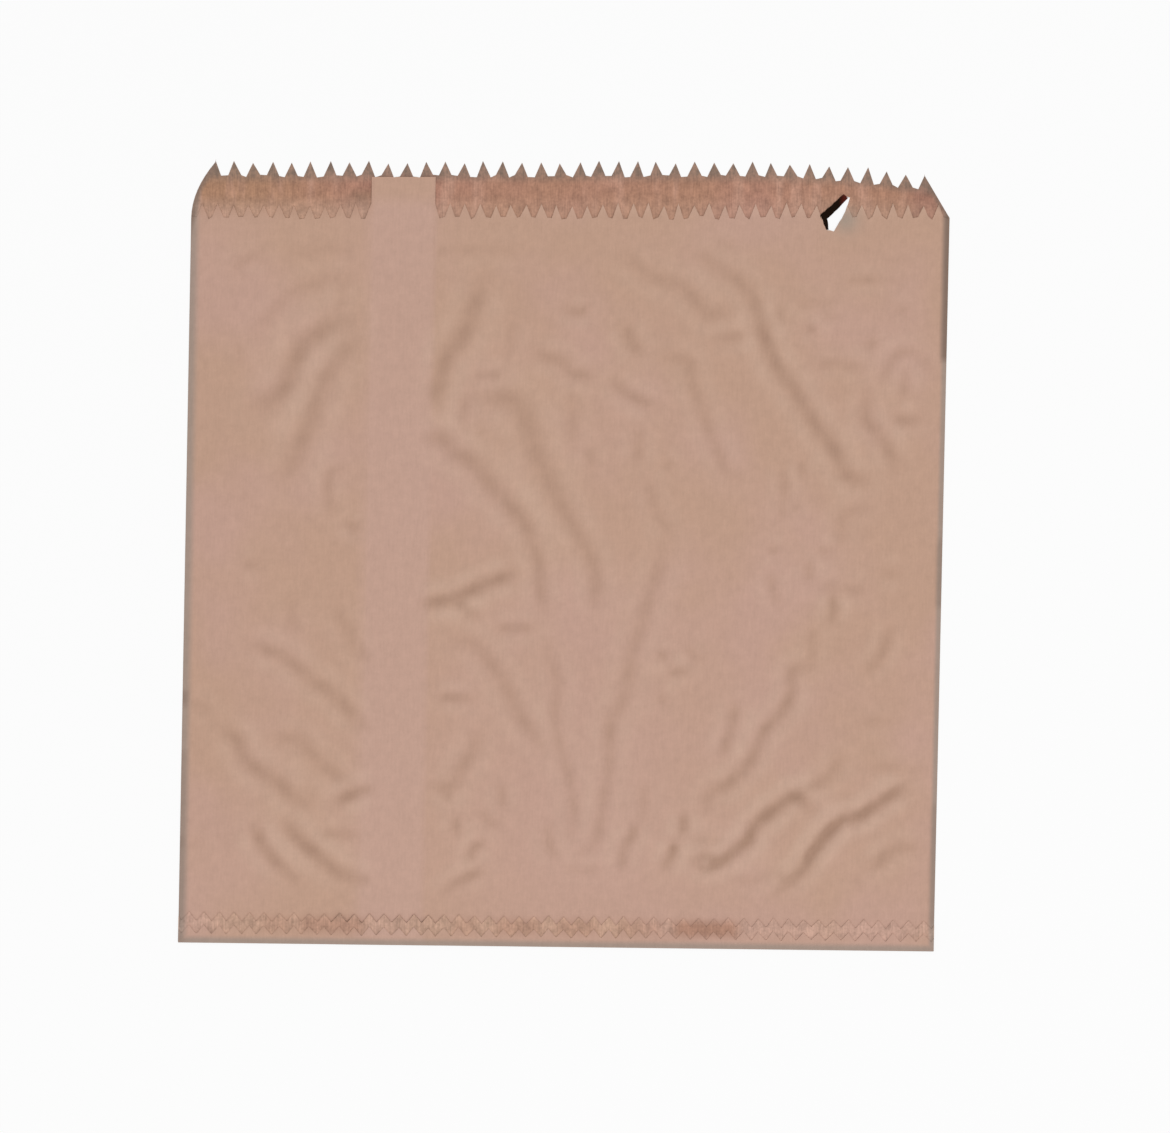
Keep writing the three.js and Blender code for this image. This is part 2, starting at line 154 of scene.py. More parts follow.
WRINKLES = (
    Wrinkle(0.32, 2.5, ((-57, 165.5), (-62, 164.5), (-66, 162), (-70, 158.5), (-73, 151),
        (-76, 146), (-82, 142.5))),
    Wrinkle(0.26, 2.4, ((-54, 159.5), (-58, 158.5), (-63, 152), (-66, 145), (-68, 138),
        (-71, 130), (-74, 124))),
    Wrinkle(0.14, 1.6, ((-56, 178), (-65, 176), (-73, 173), (-80, 166), (-82, 163))),
    Wrinkle(0.24, 1.6, ((-81, 183), (-87, 181), (-88, 178))),
    Wrinkle(0.14, 1.8, ((-57, 184), (-66, 184.5), (-75, 183.5))),
    Wrinkle(0.14, 1.4, ((-59, 176), (-61, 168))),
    Wrinkle(0.10, 1.4, ((-87, 159), (-86, 154))),
    Wrinkle(0.18, 1.4, ((-59, 126), (-62, 125), (-62.5, 119), (-61, 115))),
    Wrinkle(0.24, 1.3, ((-57, 112), (-54.5, 110.5))),
    Wrinkle(0.18, 1.4, ((-84, 101), (-81, 101))),
    Wrinkle(0.32, 2.2, ((-22, 178), (-24, 172.5), (-26, 166), (-28.5, 160.5), (-31.5, 157),
        (-33.5, 151), (-35, 143))),
    Wrinkle(0.24, 2.4, ((-25, 145.5), (-18, 145.5), (-13, 143.5), (-10, 138), (-8, 131),
        (-4, 123), (0, 115.5))),
    Wrinkle(0.24, 1.8, ((-2, 119), (0, 115.5), (4, 109), (8, 101), (10, 93))),
    Wrinkle(0.28, 2.1, ((-38, 134.5), (-33, 134.5), (-29.5, 131), (-24.5, 128), (-19, 121.5),
        (-15, 117.5), (-10, 111.5))),
    Wrinkle(0.24, 1.7, ((-13, 115), (-10, 111.5), (-8.5, 107), (-6.5, 102), (-6, 95), (-5, 89))),
    Wrinkle(0.30, 1.3, ((-1, 169), (2, 168), (5, 168.5))),
    Wrinkle(0.24, 1.6, ((-9, 157.5), (-5, 156), (-1, 154.5), (1, 152), (7, 151))),
    Wrinkle(0.16, 1.5, ((-27, 146), (-27, 136))),
    Wrinkle(0.14, 1.5, ((-23, 140), (-22.5, 135))),
    Wrinkle(0.12, 1.4, ((-15, 165), (-15, 158))),
    Wrinkle(0.14, 1.4, ((6, 132), (7, 127))),
    Wrinkle(0.20, 1.6, ((-37, 184), (-25, 184.5), (-11, 184))),
    Wrinkle(0.20, 1.4, ((-25, 151), (-17, 151.5))),
    Wrinkle(0.12, 1.6, ((1, 148), (1.5, 140), (2, 132))),
    Wrinkle(0.28, 1.8, ((14, 183.5), (18, 180), (22, 177.5), (26, 176), (30, 174.5), (33, 171.5),
        (37, 167.5), (42, 168.5))),
    Wrinkle(0.32, 1.8, ((31, 184), (36, 182), (41, 179), (45.5, 175.5), (49, 170.5), (51, 164),
        (53, 158))),
    Wrinkle(0.34, 1.8, ((51, 164), (53, 158), (56, 152.5), (59.5, 148), (62, 144), (66.5, 137.5),
        (70.5, 132.5), (73, 127.5), (78, 123))),
    Wrinkle(0.34, 1.4, ((38, 186), (43, 185.5))),
    Wrinkle(0.20, 1.4, ((38, 161.5), (43, 161.5), (47, 162))),
    Wrinkle(0.30, 1.6, ((15, 164), (17, 160), (19, 157.5))),
    Wrinkle(0.20, 1.6, ((24, 156), (28, 156), (32, 154.5), (33, 149), (35.5, 143), (37, 138.5),
        (39.5, 133), (42, 127), (45, 124))),
    Wrinkle(0.26, 1.5, ((12, 150), (15, 147), (19, 145), (23, 143))),
    Wrinkle(0.18, 1.5, ((19, 137), (19, 129))),
    Wrinkle(0.16, 1.3, ((26, 128.5), (28, 127))),
    Wrinkle(0.14, 1.5, ((21, 124), (22.5, 120), (25, 114), (28, 110))),
    Wrinkle(0.18, 1.3, ((57, 128), (58, 120), (57, 114))),
    Wrinkle(0.16, 1.2, ((62, 129), (62.5, 125))),
    Wrinkle(0.16, 1.2, ((61, 118), (60.5, 115))),
    Wrinkle(0.22, 1.4, ((55, 171), (56, 166))),
    Wrinkle(0.22, 1.2, ((63, 164), (65, 163))),
    Wrinkle(0.14, 1.2, ((67, 167), (71, 166.5))),
    Wrinkle(0.16, 1.3, ((66, 154), (71, 154.5), (77, 153.5))),
    Wrinkle(0.26, 1.2, ((74, 176.5), (80, 176.5))),
    Wrinkle(0.12, 1.2, ((79, 176.5), (88, 176))),
    Wrinkle(0.16, 1.2, ((86, 169), (89, 168.5))),
    Wrinkle(0.20, 1.5, ((79, 161), (81, 159))),
    Wrinkle(0.22, 1.5, ((83.5, 150.5), (85, 154.5), (88, 157.5), (92, 157), (95, 154), (98, 151))),
    Wrinkle(0.16, 1.4, ((89, 154), (89, 146))),
    Wrinkle(0.30, 1.5, ((87, 140.5), (91, 139.5), (94, 141))),
    Wrinkle(0.26, 1.6, ((79, 147), (79, 140), (82.5, 136), (86, 130.5), (87.5, 127))),
    Wrinkle(0.14, 1.5, ((72, 125), (79, 124))),
    Wrinkle(0.14, 1.6, ((81, 118), (76, 116), (73, 113), (73, 106))),
    Wrinkle(0.14, 1.5, ((60, 171), (70, 170))),
    Wrinkle(0.26, 1.7, ((-83, 80), (-77, 78), (-72, 75.5), (-66, 70.5), (-60, 66.5), (-55, 61.5),
        (-50, 57))),
    Wrinkle(0.20, 1.7, ((-75, 55), (-69, 54.5), (-64, 49), (-60, 46), (-55, 42))),
    Wrinkle(0.38, 1.5, ((-59, 38), (-54.5, 40), (-51, 41.5), (-47, 40.5))),
    Wrinkle(0.30, 1.8, ((-90, 58), (-86, 55), (-83, 49.5), (-79, 46), (-74, 43), (-70, 39), (-66, 38))),
    Wrinkle(0.40, 1.7, ((-80, 31), (-78.5, 27), (-76, 23.5), (-72, 19.5), (-68, 15.5))),
    Wrinkle(0.48, 1.8, ((-72, 32), (-69, 28.5), (-65, 25), (-61, 21.5), (-57, 18.5), (-52, 17),
        (-46, 15.5))),
    Wrinkle(0.20, 1.4, ((-63, 29.5), (-53, 29.5))),
    Wrinkle(0.20, 1.4, ((-99, 65), (-95, 63), (-92, 61))),
    Wrinkle(0.16, 1.3, ((-99, 26), (-95, 27))),
    Wrinkle(0.14, 1.7, ((-60, 91), (-57, 84), (-53, 78), (-49, 75))),
    Wrinkle(0.12, 1.7, ((-72, 92), (-71, 84))),
    Wrinkle(0.40, 1.6, ((-38, 90.5), (-33, 91.5), (-28, 92.5), (-22, 95.5), (-17, 97.5), (-13, 99))),
    Wrinkle(0.22, 1.4, ((-28, 91.5), (-24.5, 88.5), (-22, 87.5))),
    Wrinkle(0.24, 1.4, ((-17, 84.5), (-8, 84.5))),
    Wrinkle(0.22, 1.8, ((-28, 81.5), (-23, 80), (-19, 75.5), (-16, 71.5), (-13, 66), (-10.5, 61),
        (-7, 56.5), (-4, 52))),
    Wrinkle(0.17, 1.6, ((-4, 80), (-3, 76), (-1, 70), (-1.5, 63), (-1, 57), (1, 50), (3, 44),
        (4, 35), (3, 29))),
    Wrinkle(0.26, 1.3, ((-32, 66), (-27, 66), (-23, 65.5))),
    Wrinkle(0.22, 1.8, ((-22, 57), (-23, 52), (-26, 47), (-28.5, 42.5), (-34, 42.5))),
    Wrinkle(0.14, 1.3, ((-29.5, 41), (-29, 38))),
    Wrinkle(0.18, 1.3, ((-15, 43), (-15, 37))),
    Wrinkle(0.14, 1.4, ((-20.5, 36), (-18, 33), (-15.5, 33))),
    Wrinkle(0.20, 1.3, ((-27, 34), (-27, 30))),
    Wrinkle(0.26, 1.3, ((-20, 28), (-22.5, 25.5), (-23.5, 22))),
    Wrinkle(0.60, 1.4, ((-20, 20), (-24, 18), (-28, 15.5), (-31, 12))),
    Wrinkle(0.18, 1.5, ((-3, 33), (-2, 27), (0, 23))),
    Wrinkle(0.18, 1.6, ((12, 63), (13, 56), (13, 48), (11.5, 38), (10.5, 31), (9, 27), (5, 24.5))),
    Wrinkle(0.16, 1.2, ((2, 21), (7, 20.5), (11, 21))),
    Wrinkle(0.12, 1.6, ((7, 99), (8, 92), (9, 89))),
    Wrinkle(0.19, 1.9, ((27, 107), (25, 100), (22.5, 92), (20.5, 84), (18.5, 78), (17.5, 71),
        (16, 65), (14, 60), (13, 54))),
    Wrinkle(0.18, 1.3, ((25, 78), (28, 77))),
    Wrinkle(0.22, 1.3, ((29, 73.5), (33, 73.5))),
    Wrinkle(0.12, 1.3, ((33, 80), (34.5, 77.5), (38, 76))),
    Wrinkle(0.18, 1.3, ((26, 67), (27.5, 65))),
    Wrinkle(0.24, 1.5, ((46, 65), (45.5, 60), (44, 55), (43, 51))),
    Wrinkle(0.30, 1.6, ((65, 75), (61, 73.5), (60.5, 67), (58, 62.5), (54, 58), (51, 51),
        (48, 47), (44, 43.5), (40, 41.5), (38.5, 37.5))),
    Wrinkle(0.54, 1.6, ((67, 37.5), (63, 40.5), (60, 39.5), (56, 36.5), (52, 33), (50, 29),
        (46, 25.5), (42.5, 23), (39, 24.5), (36, 23.5))),
    Wrinkle(0.45, 1.2, ((42, 22.5), (39.5, 21), (37, 22))),
    Wrinkle(0.20, 1.5, ((45, 19), (50, 18), (55, 19), (58, 21))),
    Wrinkle(0.22, 1.5, ((74, 51), (72, 47), (68, 44), (64, 42))),
    Wrinkle(0.56, 1.5, ((92, 43.5), (88, 41.5), (83, 38), (79, 35.5), (75, 34.5), (72, 32),
        (69.5, 29))),
    Wrinkle(0.66, 1.5, ((72, 32), (69.5, 29), (67, 25.5), (65, 21.5), (62, 18.5), (59, 15.5),
        (55, 11.5))),
    Wrinkle(0.20, 1.3, ((58, 20.5), (60, 18.5))),
    Wrinkle(0.30, 1.5, ((96, 27), (91, 27.5), (87.5, 26), (84.5, 23), (82, 22))),
    Wrinkle(0.16, 1.3, ((36, 29), (43, 28.5))),
    Wrinkle(0.30, 1.3, ((33, 36), (33, 30))),
    Wrinkle(0.42, 1.4, ((31, 28), (30, 24.5), (28, 21))),
    Wrinkle(0.26, 1.4, ((20, 33), (19.5, 30), (17.5, 26), (17, 21))),
    Wrinkle(0.12, 1.6, ((22.5, 44), (22.5, 33))),
    Wrinkle(0.18, 1.3, ((54, 106), (56, 105))),
    Wrinkle(0.18, 1.4, ((54.5, 99), (55.5, 95), (57, 91))),
    Wrinkle(0.20, 1.4, ((64.5, 102), (65, 97.5))),
    Wrinkle(0.14, 1.6, ((68, 96.5), (74, 95.5), (80, 95))),
    Wrinkle(0.30, 1.3, ((71, 93.5), (71.5, 90), (71, 86.5))),
    Wrinkle(0.16, 1.3, ((67, 106), (70, 105))),
    Wrinkle(0.16, 1.5, ((66, 85), (66, 76))),
    Wrinkle(0.24, 1.4, ((87, 86), (85.5, 81), (83.5, 76.5), (80, 73.5))),
    Wrinkle(0.12, 1.4, ((80, 60.5), (88, 60.5))),
    Wrinkle(0.16, 1.5, ((82, 49), (90, 48), (98, 47))),
    Wrinkle(0.12, 1.5, ((79, 20), (80, 15))),
    Wrinkle(0.12, 1.4, ((75, 14), (75, 11))),
    Wrinkle(0.20, 1.5, ((84, 100), (88, 99.5))),
)


@dataclass(frozen=True)
class EdgeShade:
    """A stretch of a side fold with painted shade: which side, from where to where in millimetres, how
    dark.
    """

    side: int
    start: float
    end: float
    strength: float


# Stretches of the side folds with painted shade.
EDGE_SHADES = (
    EdgeShade(1, 157, 215, 1.0),
    EdgeShade(1, 92, 110, 0.4),
    EdgeShade(1, 8, 40, 0.35),
    EdgeShade(-1, 62, 66, 0.5),
    EdgeShade(-1, 24, 28, 0.5),
    EdgeShade(-1, -4, 50, 0.3),
)


@dataclass(frozen=True)
class DarkPatch:
    """A stretch of the flap's end that is painted darker on both its faces, in millimetres."""

    start: float
    end: float
    strength: float


DARK_PATCHES = (
    DarkPatch(-78, -70, 0.35),
    DarkPatch(-68, -51, 0.6),
    DarkPatch(-27, -21, 0.35),
    DarkPatch(-16, -4, 0.5),
    DarkPatch(0, 11, 0.45),
    DarkPatch(16, 28, 0.4),
    DarkPatch(31, 48, 0.95),
)


@dataclass(frozen=True)
class RosyZone:
    """A pinker zone of the near side: middle, reach across and along in millimetres, strength."""

    x: float
    y: float
    across: float
    along: float
    strength: float


ROSY_ZONES = (
    RosyZone(5, 34, 38, 54, 1.0),
    RosyZone(-88, 20, 14, 14, 0.7),
)


def srgb(red: float, green: float, blue: float) -> Colour:
    """Turns a screen colour of 0 to 255 into the linear colour that a shader takes.

    Args:
        red: The red part.
        green: The green part.
        blue: The blue part.

    Returns:
        The linear colour, with an alpha of one.
    """
    parts = [part / 255 for part in (red, green, blue)]
    linear = [p / 12.92 if p <= 0.04045 else ((p + 0.055) / 1.055) ** 2.4 for p in parts]
    return (*linear, 1.0)


def smoothstep(value: np.ndarray, start: float, end: float) -> np.ndarray:
    """Rises smoothly from 0 at start to 1 at end.

    Args:
        value: Where to read the curve.
        start: The value that gives 0.
        end: The value that gives 1.

    Returns:
        The curve at each value.
    """
    share = np.clip((value - start) / (end - start), 0, 1)
    return share * share * (3 - 2 * share)


def smooth_route(points: np.ndarray, steps: int) -> np.ndarray:
    """Draws one smooth line, a Catmull-Rom curve, through a few points.

    Args:
        points: The points, one in each row.
        steps: How many steps to take between two of them.

    Returns:
        The points of the smooth line.
    """
    padded = np.vstack([2 * points[0] - points[1], points, 2 * points[-1] - points[-2]])
    drawn = []
    for before, start, end, after in zip(padded, padded[1:], padded[2:], padded[3:]):
        for t in np.arange(steps) / steps:
            drawn.append(0.5 * (
                2 * start + (end - before) * t
                + (2 * before - 5 * start + 4 * end - after) * t ** 2
                + (3 * start - before - 3 * end + after) * t ** 3
            ))
    return np.array([*drawn, points[-1]])


def nearest_on_line(x: np.ndarray, y: np.ndarray, line: np.ndarray) -> tuple[np.ndarray, np.ndarray]:
    """Measures how far places are from a line, and how far along it they lie.

    Args:
        x: The places' distances across.
        y: The places' distances along.
        line: The line's points.

    Returns:
        The distance of each place, and the share of the line's length at its nearest point.
    """
    lengths = np.linalg.norm(np.diff(line, axis=0), axis=1)
    starts = np.concatenate([[0], np.cumsum(lengths)])
    distance = np.full(x.shape, np.inf)
    share = np.zeros(x.shape)
    for (x0, y0), (x1, y1), length, start in zip(line, line[1:], lengths, starts):
        t = np.clip(((x - x0) * (x1 - x0) + (y - y0) * (y1 - y0)) / length ** 2, 0, 1)
        here = np.hypot(x - x0 - t * (x1 - x0), y - y0 - t * (y1 - y0))
        closer = here < distance
        distance = np.where(closer, here, distance)
        share = np.where(closer, (start + t * length) / starts[-1], share)
    return distance, share


class SheetForm:
    """The shape of the rolled and folded sheet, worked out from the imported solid's box."""

    route_steps = 6
    route_seed = 4
    cockle_seed = 8
    shoulder_distance = 2.3
    shoulder_width = 1.3
    shoulder_share = 0.38
    trough_spread = 2.4
    trough_share = 0.35
    end_fade = 0.18
    seam_share = 0.12
    seam_edge = 2.4 * MM
    route_ragged = 0.15 * MM
    uneven_share = 0.2
    uneven_length = 9 * MM
    feather_lift = 0.07 * MM
    feather_half = 0.01 * MM
    feather_width = 3.2 * MM

    def __init__(self, sizes: SheetSizes, bulge: BulgeSizes) -> None:
        """Reads the box and works out the levels of the plies.

        Args:
            sizes: The sheet's sizes.
            bulge: How the near side stands off the far side.
        """
        low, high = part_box(SOLID)
        self.sizes = sizes
        self.bulge = bulge
        self.half_width = (high.x - low.x) / 2
        self.fold_slope = math.tan(sizes.fold_skew)
        self.cut_slope = math.tan(sizes.cut_skew)
        self.bottom_y = low.y + self.half_width * self.fold_slope
        self.half_paper = sizes.paper / 2
        self.far_level = self.half_paper
        self.near_level = self.far_level + sizes.paper + sizes.pressed_gap
        self.lap_step = sizes.paper + sizes.paste_film
        self.side_radius = (self.near_level - self.far_level) / 2
        self.flat_radius = self.near_level + self.half_paper + sizes.pressed_gap / 2
        self.fold_radius = self.flat_radius + self.lap_step
        self.hidden_lap = sizes.hidden_lap_edge - self.half_width
        self.visible_lap = self.hidden_lap + sizes.lap_width
        self.flap_length = sizes.flap_far_length + sizes.flap_step_back
        self.flap_end = self.flap_length + sizes.flap_margin
        self.mouth_end = sizes.length + self.half_width * self.cut_slope + sizes.flap_margin
        self.lip_line = sizes.length - sizes.lip_drop
        self.routes = self.wrinkle_routes()
        self.waves = self.cockle_waves()

    def wrinkle_routes(self) -> list[tuple[Wrinkle, np.ndarray, float]]:
        """Draws each wrinkle's line, a little ragged, and picks where along it is deepest.

        Returns:
            Each wrinkle with its line and the phase of its uneven depth.
        """
        draw = np.random.default_rng(self.route_seed)
        routes = []
        for wrinkle in WRINKLES:
            line = smooth_route(np.array(wrinkle.route) * MM, self.route_steps)
            line += draw.uniform(-self.route_ragged, self.route_ragged, line.shape)
            routes.append((wrinkle, line, draw.uniform(0, 2 * math.pi)))
        return routes

    def cockle_waves(self) -> list[tuple[float, float, float]]:
        """Picks the waves that add up to the paper's slight unevenness.

        Returns:
            For each wave, its rate across and along the bag, and its phase.
        """
        bulge = self.bulge
        draw = np.random.default_rng(self.cockle_seed)
        waves = []
        for _ in range(bulge.cockle_waves):
            length = draw.uniform(bulge.cockle_shortest, bulge.cockle_longest)
            turn = draw.uniform(0, math.pi)
            rate = 2 * math.pi / length
            waves.append((rate * math.cos(turn), rate * math.sin(turn), draw.uniform(0, 2 * math.pi)))
        return waves

    def skewed(self, x: np.ndarray, y: np.ndarray) -> np.ndarray:
        """Turns a place along the bag out of square as the nearer end is, at x across."""
        share = np.clip(y / self.sizes.length, 0, 1)
        return y + x * (self.fold_slope + (self.cut_slope - self.fold_slope) * share)

    def squared(self, x: np.ndarray, y: np.ndarray) -> np.ndarray:
        """Turns a place along the bag back, nearly, to where it was before its ends' skew."""
        return y - x * (self.fold_slope + (self.cut_slope - self.fold_slope) * y / self.sizes.length)

    def far_tips(self, x: np.ndarray) -> np.ndarray:
        """Gives where the far teeth's tips lie at each place across.

        Args:
            x: Places across the bag.

        Returns:
            The tips' places along the bag.
        """
        dip = np.maximum(0, x - self.half_width + self.sizes.mouth_dip_width)
        return self.sizes.length + x * self.cut_slope - self.sizes.mouth_dip * (
            dip / self.sizes.mouth_dip_width
        ) ** 2

    def lip_tips(self, x: np.ndarray) -> np.ndarray:
        """Gives where the lip's tips lie at each place across."""
        return self.lip_line + x * self.cut_slope

    def corner_ends(self, side: int) -> tuple[Vector, Vector]:
        """Gives where a mouth corner leaves its side fold, and the tooth's tip where it ends.

        Args:
            side: -1 for the left corner, 1 for the right one.

        Returns:
            The two places on the bag.
        """
        inset = self.sizes.left_corner_inset if side < 0 else self.sizes.right_corner_inset
        low = float(self.lip_tips(side * self.half_width)) - LIP_PINKING.tooth
        tip = side * (self.half_width - inset)
        return Vector((side * self.half_width, low)), Vector((tip, float(self.far_tips(tip))))

    def fold_radii(self, x: np.ndarray) -> np.ndarray:
        """Gives the bottom fold's radius at each place across: larger where the lap is thick.

        Args:
            x: Places across the bag.

        Returns:
            The radius at each place.
        """
        start, ramp = self.hidden_lap - self.sizes.lap_ramp, self.sizes.fold_ramp
        over_lap = smoothstep(x, start - ramp, start)
        over_lap *= 1 - smoothstep(x, self.visible_lap, self.visible_lap + ramp)
        return self.flat_radius + self.lap_step * over_lap

    def lap(self, x: np.ndarray) -> np.ndarray:
        """Gives 1 over the lap, where two plies make the paper paler, and 0 away from it.

        Args:
            x: Places across the bag.

        Returns:
            The share at each place.
        """
        edge = self.seam_edge / 2
        return smoothstep(x, self.hidden_lap - edge, self.hidden_lap + edge) * (
            1 - smoothstep(x, self.visible_lap - edge / 2, self.visible_lap + edge)
        )

    def seam(self, x: np.ndarray) -> np.ndarray:
        """Gives 1 on the pasted strip of the seam, where the paper is stiff, and 0 away from it.

        Args:
            x: Places across the bag.

        Returns:
            The share at each place.
        """
        middle = (self.hidden_lap + self.visible_lap) / 2
        away = np.abs(x - middle) - self.sizes.lap_paste_width / 2
        return 1 - smoothstep(away, 0, self.seam_edge)

    def feather(self, x: np.ndarray) -> np.ndarray:
        """Gives 1 at the lap's visible edge, falling to 0 where the upper ply has its full thickness."""
        return 1 - smoothstep(self.visible_lap - x, 0, self.feather_width)

    def wrinkle_marks(self, x: np.ndarray, y: np.ndarray) -> tuple[np.ndarray, np.ndarray, np.ndarray]:
        """Works out what the wrinkles do at each place.

        Args:
            x: Places across the bag.
            y: Places along the bag, before its ends' skew.

        Returns:
            The height that they add, and how strongly the painted shade in a trough and the painted
            highlight on a ridge show.
        """
        relief = np.zeros(np.broadcast(x, y).shape)
        trough_shade = np.zeros_like(relief)
        ridge = np.zeros_like(relief)
        x, y = np.broadcast_arrays(x, y)
        for wrinkle, line, phase in self.routes:
            distance, share = nearest_on_line(x, y, line)
            unit = distance / (wrinkle.width * MM)
            fade = smoothstep(share, -self.end_fade / 2, self.end_fade)
            fade *= 1 - smoothstep(share, 1 - self.end_fade, 1 + self.end_fade / 2)
            length = np.linalg.norm(np.diff(line, axis=0), axis=1).sum()
            turn = 2 * math.pi * share * length / self.uneven_length
            fade *= 1 + self.uneven_share * np.sin(turn + phase)
            sharp = np.exp(-(unit ** 2))
            broad = np.exp(-((unit / self.trough_spread) ** 2))
            shoulder = np.exp(-(((unit - self.shoulder_distance) / self.shoulder_width) ** 2))
            hollow = (1 - self.trough_share) * sharp + self.trough_share * broad
            relief += wrinkle.depth * MM * fade * (self.shoulder_share * shoulder - hollow)
            # The painted shade of the trough and the painted highlight of its shoulders.
            trough_shade += wrinkle.depth * fade * sharp
            ridge += wrinkle.depth * fade * shoulder
        return relief, trough_shade, ridge

    def stand(self, x: np.ndarray, y: np.ndarray) -> np.ndarray:
        """Gives the share of its full height that the near side may stand at a place.

        Args:
            x: Places across the bag.
            y: Places along the bag, before its ends' skew.

        Returns:
            The share at each place.
        """
        bulge = self.bulge
        from_side = smoothstep(self.half_width - np.abs(x), 0, bulge.side_rise)
        start = self.flap_end + bulge.bottom_start
        return from_side * smoothstep(y, start, start + bulge.bottom_rise)

    def to_mouth(self, y: np.ndarray) -> np.ndarray:
        """Gives 0 over most of the bag, rising to 1 at its lip."""
        return smoothstep(y, self.lip_line - self.bulge.mouth_rise, self.lip_line)

    def near_height(self, x: np.ndarray, y: np.ndarray) -> np.ndarray:
        """Gives the middle of the near ply above the far ply's outer face.

        Args:
            x: Places across the bag.
            y: Places along the bag, before its ends' skew.

        Returns:
            The height at each place.
        """
        bulge = self.bulge
        across = 1 - (x / self.half_width) ** 2
        along = 1 - (2 * y / self.sizes.length - 1) ** 2
        relief, _, _ = self.wrinkle_marks(x, y)
        free = 1 - (1 - self.seam_share) * self.seam(x)
        full = bulge.edge + bulge.middle * across * along + relief * free
        height = np.maximum(full, bulge.least)
        height = height + (bulge.mouth_gape - height) * self.to_mouth(y)
        cockle = sum(np.sin(rate_x * x + rate_y * y + phase) for rate_x, rate_y, phase in self.waves)
        height = height + bulge.cockle * cockle * free * (1 - self.to_mouth(y))
        return self.near_level + self.stand(x, y) * height


